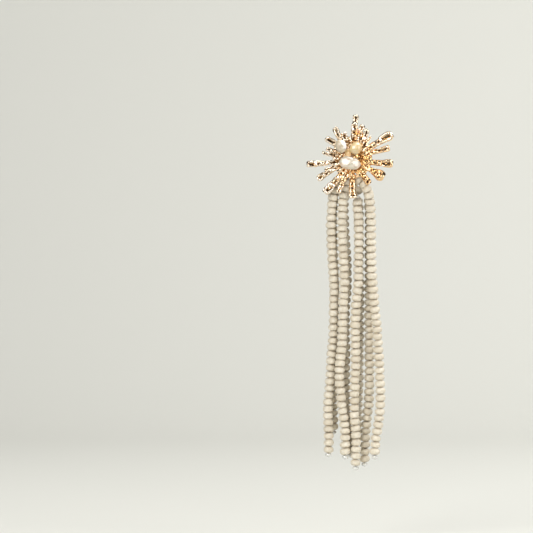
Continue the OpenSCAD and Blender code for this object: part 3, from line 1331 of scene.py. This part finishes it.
def hold_inside(piece: bpy.types.Object, node: str) -> None:
    """Keep a piece, still in millimetres, inside the box of a CAD node.

    Args:
        piece: The piece.
        node: The CAD node.
    """
    low, high = (numpy.array(corner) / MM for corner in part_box(node))
    piece.data.vertices.foreach_set("co", numpy.clip(read_points(piece), low, high).reshape(-1))
    piece.data.update()


def fit_to(piece: bpy.types.Object, node: str) -> None:
    """Fit a piece, still in millimetres, to the box of a CAD node.

    Args:
        piece: The piece.
        node: The CAD node.
    """
    low, high = (Vector(corner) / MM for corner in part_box(node))
    corners = [Vector(corner) for corner in piece.bound_box]
    own_low = Vector([min(corner[axis] for corner in corners) for axis in range(3)])
    own_high = Vector([max(corner[axis] for corner in corners) for axis in range(3)])
    scale = [(high[axis] - low[axis]) / (own_high[axis] - own_low[axis]) for axis in range(3)]
    centre = (low + high) / 2
    with editing(piece):
        bpy.ops.mesh.select_all(action="SELECT")
        bpy.ops.transform.translate(value=centre - (own_low + own_high) / 2)
        bpy.ops.transform.resize(value=scale, center_override=centre)


@dataclass(frozen=True)
class StoneSection:
    """One section of a stone.

    Attributes:
        place: Where it lies, as a share of the half length.
        radius: Its radius, as a share of the half height and of the half depth.
        up: How far its middle is raised, as a share of the half height.
    """

    place: float
    radius: float
    up: float


PEARL_SECTIONS = (
    StoneSection(-1.00, 0.28, 0.03), StoneSection(-0.86, 0.64, 0.03), StoneSection(-0.56, 0.93, 0.03),
    StoneSection(-0.22, 1.00, 0.02), StoneSection(0.12, 0.98, 0.00), StoneSection(0.42, 0.92, -0.05),
    StoneSection(0.68, 0.76, -0.09), StoneSection(0.88, 0.52, -0.11), StoneSection(1.00, 0.24, -0.11),
)
NUGGET_SECTIONS = (
    StoneSection(-1.00, 0.35, 0.00), StoneSection(-0.72, 0.76, 0.04), StoneSection(-0.26, 0.98, 0.02),
    StoneSection(0.24, 0.96, -0.03), StoneSection(0.70, 0.74, -0.05), StoneSection(1.00, 0.34, -0.04),
)


@dataclass
class Stone:
    """One stone on the seat of the hub. Sizes are millimetres.

    Attributes:
        node: The CAD node that it stands for.
        sections: Its sections from end to end.
        size: Its length, height and depth.
        place: Its middle across and up.
        turn: Its turn in the plane of the star, in degrees.
        seed: Seed of its unevenness.
        flats: The sides where it is worn flat: their direction, and their place as a share of the way out.
        painted_glow: The side that gets a painted glow, as if light gathered in it there.
        seat_y: Where the seat lies.
        gap: How far the stone lies before its seat.
        sides: The corners round it.
        painted_glow_from: Where that painted glow starts, by how far the surface faces its side.
        painted_glow_full: Where it is full.
    """

    node: str
    sections: Sequence[StoneSection]
    size: tuple[float, float, float]
    place: tuple[float, float]
    turn: float
    seed: int
    flats: Sequence[tuple[tuple[float, float, float], float]] = ()
    painted_glow: tuple[float, float, float] = (0.0, -1.0, 0.0)
    seat_y: float = -4.55
    gap: float = 0.15
    sides: int = 16
    painted_glow_from: float = 0.55
    painted_glow_full: float = 0.90

    def build(self) -> bpy.types.Object:
        """Model the stone.

        Returns:
            The stone in its place.
        """
        length, height, depth = (side / 2 for side in self.size)
        stations = [
            Station(Vector((row.place * length, 0, row.up * height)), row.radius * height, row.radius * depth)
            for row in self.sections
        ]
        piece = draw_out(f"stone_{self.node}", stations, self.sides)
        with editing(piece):
            pick_faces(piece, lambda centre, normal: abs(normal.x) > 0.95)
            bpy.ops.mesh.inset(thickness=0.12 * height, depth=0.03 * length)
            put_in_order()
            bpy.ops.transform.vertex_random(offset=0.03 * height, seed=self.seed)
            for side, share in self.flats:
                way = Vector(side).normalized()
                out = Vector((way.x * length, way.y * depth, way.z * height)).length
                bpy.ops.mesh.select_all(action="SELECT")
                bpy.ops.mesh.bisect(plane_co=way * out * share, plane_no=way, use_fill=True, clear_outer=True)
        piece.modifiers.new("Tumble", "SUBSURF").levels = 2
        dents = bpy.data.textures.new("Dents", "CLOUDS")
        dents.noise_scale = 0.45 * height
        add_relief(piece, dents, 0.09 * height)
        apply_modifiers(piece)
        bpy.ops.object.shade_smooth()
        piece.location = (self.place[0], self.seat_y - self.gap - depth, self.place[1])
        piece.rotation_euler = (0, math.radians(self.turn), 0)
        settle(piece)
        fit_to(piece, self.node)
        self.mark_painted_glow(piece)
        return piece

    def mark_painted_glow(self, piece: bpy.types.Object) -> None:
        """Mark the side of the stone that gets a painted glow, as if light gathered in it.

        Args:
            piece: The stone.
        """
        # Painted light: a mask of the surface that faces the glowing side.
        facing = read_points(piece, "normal") @ Vector(self.painted_glow).normalized()
        mark(piece, "painted_glow", numpy.clip((facing - self.painted_glow_from) / (self.painted_glow_full - self.painted_glow_from), 0, 1))


@dataclass
class StoneSetting:
    """The four stones on the hub: a pearl, two nuggets above it and a small one between them.

    Attributes:
        hub_r: Radius of the hub's main disc, in millimetres.
    """

    hub_r: float = 5.6

    def build(self, effects: Effects) -> None:
        """Build the stones and dress each one.

        Args:
            effects: The shared node groups.
        """
        # The third colour of each stone is its painted glow: light painted on one side.
        pale = Gemstone(
            "Milky stone", (0.59, 0.505, 0.38), (0.48, 0.40, 0.28), (0.98, 0.96, 0.90),
            painted_glow_amount=1.2, lustre=0.45,
        )
        cream = Gemstone(
            "Honey stone", (0.66, 0.50, 0.235), (0.68, 0.55, 0.34), (0.64, 0.37, 0.12), painted_glow_amount=0.7
        )
        peach = Gemstone(
            "Peach stone", (1.0, 0.62, 0.28), (0.96, 0.52, 0.22), (1.0, 0.70, 0.36), clarity=0.0003
        )
        r = self.hub_r
        stones = (
            (
                Stone(
                    "pearl", PEARL_SECTIONS, (8.6, 5.4, 5.4), (-0.21 * r, -0.25 * r), 4, 1,
                    flats=(
                        ((-0.27, -0.92, 0.22), 0.86), ((0.42, -0.90, -0.02), 0.88),
                        ((0.05, -0.8, -0.6), 0.92),
                    ),
                ),
                Nacre(), "pearl",
            ),
            (
                Stone(
                    "nugget_left", NUGGET_SECTIONS, (5.2, 4.78, 4.68), (-0.85 * r, 0.93 * r), 65, 2,
                    flats=(((0.0, -0.95, -0.3), 0.88), ((0.3, -0.8, 0.4), 0.9)), painted_glow=(0.75, -0.45, 0.5),
                ),
                pale, "nugget_pale",
            ),
            (
                Stone(
                    "nugget_right", NUGGET_SECTIONS, (4.99, 4.89, 4.78), (0.20 * r, 0.79 * r), -75, 3,
                    flats=(((0.1, -0.97, 0.2), 0.88),), painted_glow=(0.9, -0.4, -0.1),
                ),
                cream, "nugget_cream",
            ),
            (
                Stone(
                    "nugget_rear", NUGGET_SECTIONS, (3.5, 2.62, 1.75), (-0.35 * r, 0.46 * r), 80, 4,
                    painted_glow=(-0.2, -0.8, 0.2),
                ),
                peach, "nugget_peach",
            ),
        )
        for stone, finish_of_stone, slot in stones:
            finish(stone.build(), finish_of_stone.material(effects), [stone.node])


class Hang(Enum):
    """The strings of beads, from the left to the right as seen from the front."""

    FAR_LEFT_FRONT = "far_left_front"
    FAR_LEFT_REAR = "far_left_rear"
    LEFT_FRONT = "left_front"
    LEFT_REAR = "left_rear"
    RIGHT_FRONT = "right_front"
    RIGHT_REAR = "right_rear"
    FAR_RIGHT_FRONT = "far_right_front"
    FAR_RIGHT_REAR = "far_right_rear"


ROUTES = {
    Hang.FAR_LEFT_FRONT: (
        (-6.3, -1.6, -8.4), (-7.4, -1.5, -12), (-8.2, -1.4, -17), (-8.6, -1.3, -24), (-8.4, -1.3, -36),
        (-7.5, -0.9, -49), (-7.5, -0.7, -60), (-7.8, -0.6, -71), (-8.6, -0.5, -80), (-9, -0.4, -89),
        (-9.7, -0.6, -96), (-9.8, -0.9, -103), (-9.4, -1.2, -110), (-9.7, -1.3, -117),
    ),
    Hang.FAR_LEFT_REAR: (
        (-7.2, 2.6, -12), (-7.9, 2.9, -22), (-7.7, 3, -36), (-7.1, 3.3, -50), (-7.1, 3.6, -60),
        (-7.3, 3.8, -72), (-8.0, 3.9, -90), (-7.8, 3.5, -100), (-7.6, 3.2, -108.2),
    ),
    Hang.LEFT_FRONT: (
        (-1.8, -2.3, -7.6), (-2.6, -2.3, -11.4), (-3.9, -2.3, -15), (-4.1, -2.3, -20), (-4.4, -2.3, -24),
        (-4.2, -2.3, -31), (-3.6, -2.5, -42), (-3.4, -2.7, -50), (-3.9, -2.9, -58), (-4.3, -2.8, -73),
        (-4.9, -2.8, -79), (-5.3, -2.9, -86), (-4.4, -2.6, -98), (-3.2, -2.3, -106), (-3, -2.3, -117.8),
    ),
    Hang.LEFT_REAR: (
        (-3, 1.9, -11), (-3.5, 1.9, -20), (-3, 1.9, -31), (-2.4, 1.9, -38), (-2.2, 1.9, -50),
        (-2.8, 1.9, -58), (-3, 1.9, -68), (-2.8, 1.9, -78), (-3, 1.9, -90), (-2.4, 1.9, -100),
        (-1.6, 1.9, -108), (-0.8, 1.9, -117.4),
    ),
    Hang.RIGHT_FRONT: (
        (2.1, 1.5, -11), (1.8, -0.8, -16), (2, -1.8, -20), (2.5, -2, -26), (2.3, -2, -42), (2.2, -2, -50),
        (1.4, -2, -57), (1, -2, -68), (1.2, -2, -80), (0.8, -2, -88), (0.7, -2, -102), (1.3, -2, -110),
        (1.2, -2, -122.2),
    ),
    Hang.RIGHT_REAR: (
        (2.3, 3.6, -15), (2.7, 2.6, -24), (2.6, 2.6, -40), (2.8, 4.2, -70), (2.4, 5.6, -98), (1.8, 6.2, -113),
    ),
    Hang.FAR_RIGHT_FRONT: (
        (1.4, -2.2, -7.2), (3.4, -2.2, -8.6), (5.4, -2.2, -10.8), (6.5, -2.2, -14), (7.1, -2.2, -18),
        (7.4, -2.2, -25), (7.6, -2.2, -43), (8.4, -2.2, -54), (9.4, -2.2, -64), (10.4, -2.2, -77),
        (10.8, -2.2, -86), (11.1, -2.2, -97), (10.3, -2.2, -105), (9.2, -2.2, -112), (8.8, -2.2, -117.8),
    ),
    Hang.FAR_RIGHT_REAR: (
        (6.4, 2.1, -12), (6.9, 2.1, -24), (6.8, 2.1, -41), (6.8, 2.1, -66), (6.8, 2.1, -93), (5.8, 2.1, -103),
        (5.1, 2.1, -112), (4.9, 2.1, -121),
    ),
}


@dataclass
class Course:
    """A smooth course through knots, in millimetres.

    Attributes:
        knots: The points that it passes.
        steps: The steps from knot to knot.
    """

    knots: Sequence[Sequence[float]]
    steps: int = 8

    def __post_init__(self) -> None:
        """Work out the fine points and the way to each of them."""
        knots = [Vector(knot) for knot in self.knots]
        last = len(knots) - 1
        self.points = []
        for i in range(last):
            a, b, c, d = knots[max(i - 1, 0)], knots[i], knots[i + 1], knots[min(i + 2, last)]
            for step in range(self.steps):
                t = step / self.steps
                bend = (2 * a - 5 * b + 4 * c - d) * t * t + (3 * b - a - 3 * c + d) * t ** 3
                self.points.append((2 * b + (c - a) * t + bend) / 2)
        self.points.append(knots[last])
        steps = [(after - before).length for before, after in pairwise(self.points)]
        self.way = numpy.concatenate(([0], numpy.cumsum(steps)))
        self.length = float(self.way[-1])

    def at(self, distance: float) -> Vector:
        """Find a point of the course.

        Args:
            distance: How far along it, in millimetres.

        Returns:
            The point.
        """
        return Vector([numpy.interp(distance, self.way, values) for values in zip(*self.points)])


@dataclass(frozen=True)
class BeadForm:
    """The form of one pressed bead, in millimetres.

    Attributes:
        width: Its diameter.
        length: Its length along the string.
        rounding: How far its rims are rounded.
        bore: The diameter of its hole.
        slant: How far its one end is shifted against the other.
        sides: The corners round it.
        narrowed: How wide the shifted end is, as a share of its width.
        rim_from: Where the painted shade at the ends starts, as a share of the way from the middle to the
            end.
    """

    width: float = 4.2
    length: float = 2.66
    rounding: float = 1.14
    bore: float = 0.9
    slant: float = 0.0
    sides: int = 12
    narrowed: float = 0.93
    rim_from: float = 0.62

    def press(self) -> bpy.types.Object:
        """Model the bead along Z round the origin: cap, bore and rounded rims.

        Returns:
            The bead, with the attribute rim from its middle to its ends, where painted shade is laid.
        """
        deselect()
        bpy.ops.mesh.primitive_cylinder_add(vertices=self.sides, radius=self.width / 2, depth=self.length)
        bead = bpy.context.object
        with editing(bead):
            pick_faces(bead, lambda centre, normal: abs(normal.z) > 0.9)
            bpy.ops.mesh.inset(thickness=(self.width - self.bore) / 2)
            bpy.ops.mesh.bridge_edge_loops()
        with editing(bead, "EDGE"):
            pick_edges(bead, lambda middle, along: abs(along.z) < 0.1 and middle.xy.length > 0.4 * self.width)
            bpy.ops.mesh.bevel(offset=self.rounding, segments=3, profile=0.5, affect="EDGES")
        if self.slant:
            with editing(bead):
                pick_faces(bead, lambda centre, normal: centre.z > 0.2 * self.length)
                bpy.ops.transform.resize(value=(self.narrowed, self.narrowed, 1), center_override=(0, 0, 0))
                bpy.ops.transform.translate(value=(self.slant, 0, 0))
        close_and_face_out(bead)
        bpy.ops.object.shade_smooth()
        outward = numpy.abs(read_points(bead)[:, 2]) / (self.length / 2)
        # The rim mark places painted shade at the bead's ends.
        mark(bead, "rim", numpy.clip((outward - self.rim_from) / (1 - self.rim_from), 0, None))
        return bead


class Cut(Enum):
    """The forms that the pressed beads come in."""

    EVEN = BeadForm()
    PLUMP = BeadForm(width=4.3, rounding=1.24)
    SQUARE = BeadForm(width=4.15, rounding=0.98)
    SLANTED = BeadForm(width=4.2, rounding=1.14, slant=0.16)


@dataclass
class BeadTassel:
    """Eight strings of beads with a small bright bead below each, on threads that go up to the hub.

    Attributes:
        bead_l: The length of a bead along its string.
        end_d: The diameter of an end bead.
        end_h: The height of an end bead with the knot below it.
        gap: How far an end bead hangs below its string.
        thread_d: The thickness of a thread.
        anchor: Where the threads enter the hub, as X, Y and Z.
        spread: How far they lie apart there, as a share of how far their strings do.
        seed: Seed of the beads' unevenness.
        knot_r: The radius of a knot.
        knot_shows: How much of a knot shows below its end bead.
        uneven: How far a bead's length is off its usual one, as a share of it.
        lean: How far a bead leans on its thread, in radians, on the average.
        aside: How far it lies off its thread at the most, across and in depth.
        end_lean: How far an end bead leans at the most, in radians.
        narrow: The narrowest bead, as a share of the usual width.
        oval: The flattest bead, as its depth over its width.
        missing: The string, and the bead of it, that the spacer bead takes the place of.
    """

    bead_l: float = 2.7
    end_d: float = 2.5
    end_h: float = 1.7
    gap: float = 0.15
    thread_d: float = 0.5
    anchor: tuple[float, float, float] = (-0.4, -2.4, -4.4)
    spread: float = 0.28
    seed: int = 21
    knot_r: float = 0.42
    knot_shows: float = 0.25
    uneven: float = 0.07
    lean: float = 0.06
    aside: tuple[float, float] = (0.13, 0.06)
    end_lean: float = 0.08
    narrow: float = 0.955
    oval: float = 0.97
    missing: tuple[Hang, int] = (Hang.RIGHT_FRONT, 1)

    def __post_init__(self) -> None:
        """Start the chances of the beads' unevenness, and work out the height of an end bead."""
        self.chance = random.Random(self.seed)
        self.end_bead_h = self.end_h - self.knot_shows

    def drawn(self, most: float) -> float:
        """Draw a number between a most and its negative."""
        return self.chance.uniform(-most, most)

    def lengths(self, total: float) -> list[float]:
        """Share a string out among beads of uneven length.

        Args:
            total: The length of the string.

        Returns:
            The length that each bead takes.
        """
        count = round(total / self.bead_l)
        raw = [self.chance.uniform(1 - self.uneven, 1 + self.uneven) for _ in range(count)]
        return [total * share / sum(raw) for share in raw]

    def string(self, hang: Hang, models: Sequence[bpy.types.Object]) -> bpy.types.Object:
        """Thread one string of beads.

        Args:
            hang: Which string.
            models: The beads to copy.

        Returns:
            The string.
        """
        course = Course(ROUTES[hang])
        beads = []
        start = 0.0
        for number, length in enumerate(self.lengths(course.length)):
            low, high = course.at(start), course.at(start + length)
            start += length
            if (hang, number) == self.missing:
                continue
            model = self.chance.choice(models)
            turn = (low - high).to_track_quat("Z", "Y").to_matrix().to_4x4()
            pitch, roll = (self.chance.gauss(0, self.lean) for _ in range(2))
            lean = Matrix.Rotation(pitch, 4, "X") @ Matrix.Rotation(roll, 4, "Y")
            aside = Matrix.Translation((*(self.drawn(most) for most in self.aside), 0))
            spin = Matrix.Rotation(self.chance.uniform(0, math.tau), 4, "Z")
            width = self.chance.uniform(self.narrow, 1.0)
            depth = width * self.chance.uniform(self.oval, 1.0)
            size = Matrix.Diagonal((width, depth, length / self.bead_l, 1))
            bead = copy_of(model, Matrix.Translation((low + high) / 2) @ turn @ aside @ lean @ spin @ size)
            set_tone(bead, self.chance.random() ** 2)
            beads.append(bead)
        return join(f"string_{hang.value}", beads)

    def end_model(self) -> bpy.types.Object:
        """Model the small bright bead along Z round the origin."""
        high = self.end_bead_h
        return BeadForm(width=self.end_d, length=high, rounding=0.46 * high, bore=0.6, sides=14).press()

    def end(self, hang: Hang, model: bpy.types.Object) -> bpy.types.Object:
        """Place the small bead below a string, over the knot of its thread.

        Args:
            hang: Which string.
            model: The bead to copy.

        Returns:
            The bead with its knot.
        """
        low = Vector(ROUTES[hang][-1])
        middle = low - Vector((0, 0, self.gap + self.end_bead_h / 2))
        bead = copy_of(model, Matrix.Translation(middle) @ Matrix.Rotation(self.drawn(self.end_lean), 4, "Y"))
        set_tone(bead, self.chance.random() * 0.5)
        below = low - Vector((0, 0, self.gap + self.end_h - self.knot_r))
        deselect()
        bpy.ops.mesh.primitive_uv_sphere_add(segments=10, ring_count=6, radius=self.knot_r, location=below)
        knot = bpy.context.object
        settle(knot)
        with editing(knot, "VERT"):
            bpy.ops.mesh.select_all(action="SELECT")
            bpy.ops.transform.vertex_random(offset=0.05, seed=self.chance.randrange(1000))
        bpy.ops.object.shade_smooth()
        return join(f"tip_{hang.value}", [bead, knot])

    def thread(self, hang: Hang) -> bpy.types.Object:
        """Lay the thread of one string, from the hub through its beads to its knot.

        Args:
            hang: Which string.

        Returns:
            The thread as a closed tube.
        """
        course = Course(ROUTES[hang])
        top = course.points[0]
        anchor = Vector(self.anchor) + Vector((self.spread * top.x, 0, 0))
        in_knot = course.points[-1] - Vector((0, 0, self.gap + self.end_h - 0.5))
        # The thread turns to the depth of its string early on its way down.
        rise = [anchor, anchor.lerp(top, 0.45) + Vector((0, 0.25 * (top.y - anchor.y), 0))]
        points = Course(rise + [top]).points[:-1] + course.points + [in_knot]
        curve = bpy.data.curves.new("thread", "CURVE")
        curve.dimensions = "3D"
        curve.bevel_depth = self.thread_d / 2
        curve.bevel_resolution = 1
        curve.use_fill_caps = True
        line = curve.splines.new("POLY")
        line.points.add(len(points) - 1)
        for point, place in zip(line.points, points):
            point.co = (*place, 1)
        tube = bpy.data.objects.new("thread", curve)
        bpy.context.scene.collection.objects.link(tube)
        take_up(tube)
        bpy.ops.object.convert(target="MESH")
        bpy.ops.object.shade_smooth()
        return tube

    def build(self, effects: Effects) -> None:
        """Build the strings, their ends and their threads, and dress them.

        Args:
            effects: The shared node groups.
        """
        # The third colour of each bead finish is painted shade at the beads' ends; the thread has no rim
        # mark, so its third colour shows nowhere.
        cream = SeedGlass(
            "Cream seed beads", (0.785, 0.73, 0.615), (0.64, 0.57, 0.45), (0.34, 0.26, 0.17), rim_amount=0.5
        ).material(effects)
        silver = SeedGlass(
            "Silver lined beads", (0.82, 0.82, 0.78), (0.66, 0.66, 0.62), (0.52, 0.52, 0.50), polish=0.25,
            sheen_coat=0.9, metal=0.2,
        ).material(effects)
        cotton = SeedGlass(
            "Waxed thread", (0.70, 0.64, 0.52), (0.52, 0.45, 0.34), (0.8, 0.75, 0.64), polish=0.8
        ).material(effects)
        models = [cut.value.press() for cut in Cut]
        small = self.end_model()
        for hang in Hang:
            finish(self.string(hang, models), cream, [f"strand_{hang.value}"])
            finish(self.end(hang, small), silver, [f"end_bead_{hang.value}"])
        hang, number = self.missing
        middle = Course(ROUTES[hang]).at((number + 0.5) * self.bead_l + 0.1)
        spacer = copy_of(small, Matrix.Translation(middle))
        spacer.name = "spacer_bead"
        set_tone(spacer, 0.2)
        finish(spacer, silver)
        threads = join("threads", [self.thread(hang) for hang in Hang])
        finish(threads, cotton)
        for model in (*models, small):
            discard(model)


def set_tone(piece: bpy.types.Object, value: float) -> None:
    """Give all points of a piece the same tone, from 0, pale, to 1, dull."""
    mark(piece, "tone", [value] * len(piece.data.vertices))


@dataclass
class EarPost:
    """The pad and post behind the hub, which keep their CAD mesh.

    Attributes:
        node: Their CAD node.
    """

    node: str = "ear_post"

    def build(self, effects: Effects) -> None:
        """Dress the post.

        Args:
            effects: The shared node groups.
        """
        post = bpy.data.objects[self.node]
        post.data.materials.clear()
        post.data.materials.append(
            Plating("Plated post", polish=0.2, wear=0.1, grain=0.00001).material(effects)
        )
        LOG.info("%s keeps its CAD mesh", self.node)


@dataclass(frozen=True)
class Softbox:
    """One soft light.

    Attributes:
        name: Its name.
        place: Where it stands, in metres.
        aim: The point that it looks at, in metres.
        size: How wide and high it is, in metres.
        power: Its power in watts.
        colour: The colour of its light.
    """

    name: str
    place: tuple[float, float, float]
    aim: tuple[float, float, float]
    size: tuple[float, float]
    power: float
    colour: Colour = WHITE


@dataclass
class Studio:
    """The pale floor that sweeps up behind the earring, the soft lights and the camera. Sizes are metres.

    Attributes:
        target: The middle of the photograph's frame.
        distance: From the camera to the earring.
        floor_z: The height of the floor.
        front_y: Where the floor starts.
        wall_y: Where the floor bends up to the wall.
        wall_h: How far the wall goes up above the bend.
        half_w: Half the width of the floor and the wall.
        bend: The radius of the bend.
        bend_steps: The faces of the bend.
        paper: The colour of the floor and the wall.
        pale: How bright the air looks to the camera.
        mirrored: How bright it looks in metal.
        fill: How much soft light comes from it.
        lens: The camera's focal length, in millimetres.
        sensor: The width of its sensor, in millimetres.
        lights: The soft lights.
    """

    target: tuple[float, float, float] = (-0.0344, -0.002, -0.0426)
    distance: float = 1.3028
    floor_z: float = -0.152
    front_y: float = -0.3
    wall_y: float = 0.75
    wall_h: float = 2.5
    half_w: float = 1.3
    bend: float = 0.5
    bend_steps: int = 16
    paper: Colour = (0.65, 0.648, 0.60)
    pale: float = 0.80
    mirrored: float = 0.03
    fill: float = 0.17
    lens: float = 220
    sensor: float = 36
    lights: tuple[Softbox, ...] = (
        Softbox("Key", (-0.57, -0.95, 0.49), (0, 0, -0.03), (0.62, 0.62), 8.4, (1.0, 0.985, 0.96)),
        Softbox("Fill", (0.84, -0.70, 0.00), (0, 0, -0.03), (0.35, 0.84), 5.3),
        Softbox("Front", (0.24, -1.15, 0.12), (0, 0, -0.03), (0.30, 0.30), 1.7),
        Softbox("Low", (-0.90, -0.72, -0.03), (0, 0, 0), (0.20, 0.22), 1.6),
        Softbox("Top", (0.0, -0.07, 1.15), (0, 0, 0), (0.57, 0.29), 3.0),
        Softbox("Wall", (0.7, 0.2, 1.1), (0.35, 0.8, -0.15), (1.2, 0.4), 17.5),
    )

    def sweep(self) -> None:
        """Model the floor and the wall as one sheet with a wide bend."""
        deselect()
        half = (self.wall_y - self.front_y) / 2
        bpy.ops.mesh.primitive_plane_add(size=2, location=(0, self.front_y + half, self.floor_z))
        sheet = bpy.context.object
        sheet.name = "sweep"
        sheet.scale = (self.half_w, half, 1)
        settle(sheet)
        with editing(sheet, "EDGE"):
            pick_edges(sheet, lambda middle, along: middle.y > self.wall_y - 0.01)
            bpy.ops.mesh.spin(
                steps=self.bend_steps, angle=-math.pi / 2, axis=(1, 0, 0),
                center=(0, self.wall_y, self.floor_z + self.bend),
            )
            bpy.ops.mesh.extrude_region_move(TRANSFORM_OT_translate={"value": (0, 0, self.wall_h)})
        close_and_face_out(sheet)
        bpy.ops.object.shade_smooth()
        look = Look("Pale paper")
        look.set(Roughness=0.9, Base_Color=opaque(self.paper))
        sheet.data.materials.append(look.material)

    def light(self, box: Softbox) -> None:
        """Hang a soft light.

        Args:
            box: The light.
        """
        lamp = bpy.data.lights.new(box.name, "AREA")
        lamp.shape = "RECTANGLE"
        lamp.size, lamp.size_y = box.size
        lamp.energy = box.power
        lamp.color = box.colour
        holder = bpy.data.objects.new(box.name, lamp)
        holder.location = box.place
        holder.rotation_euler = (Vector(box.aim) - Vector(box.place)).to_track_quat("-Z", "Y").to_euler()
        holder.visible_camera = False
        bpy.context.scene.collection.objects.link(holder)

    def air(self) -> None:
        """Surround the studio: pale to the camera, dark where metal mirrors it, a soft fill elsewhere."""
        world = bpy.data.worlds.new("Studio air")
        world.use_nodes = True
        tree = world.node_tree
        ray = add_node(tree, "ShaderNodeLightPath")
        seen = add_node(tree, "ShaderNodeMix", data_type="RGBA")
        seen.inputs[6].default_value = opaque((self.mirrored,) * 3)
        seen.inputs[7].default_value = opaque((self.pale, self.pale, 0.95 * self.pale))
        filled = add_node(tree, "ShaderNodeMix", data_type="RGBA")
        filled.inputs[7].default_value = opaque((self.fill,) * 3)
        tree.links.new(ray.outputs["Is Camera Ray"], seen.inputs["Factor"])
        tree.links.new(ray.outputs["Is Diffuse Ray"], filled.inputs["Factor"])
        tree.links.new(seen.outputs[2], filled.inputs[6])
        tree.links.new(filled.outputs[2], tree.nodes["Background"].inputs["Color"])
        bpy.context.scene.world = world

    def build(self) -> None:
        """Set up the sweep, the lights, the air and the camera."""
        self.sweep()
        for box in self.lights:
            self.light(box)
        self.air()
        view = bpy.data.cameras.new("Camera")
        view.lens = self.lens
        view.sensor_width = self.sensor
        camera = bpy.data.objects.new("Camera", view)
        x, y, z = self.target
        camera.location = (x, y - self.distance + 0.002, z)
        camera.rotation_euler = (math.pi / 2, 0, 0)
        bpy.context.scene.collection.objects.link(camera)
        bpy.context.scene.camera = camera
        bpy.context.scene.view_settings.view_transform = "Standard"
        LOG.info("studio: %d lights", len(self.lights))


def main() -> None:
    """Build the earring and its studio."""
    logging.basicConfig(level=logging.INFO, format="%(message)s")
    effects = Effects(cloudy_tone(), broken_mask(), fine_pits())
    Studio().build()
    StarCasting().build(effects)
    StoneSetting().build(effects)
    BeadTassel().build(effects)
    EarPost().build(effects)


if __name__ == "__main__":
    main()
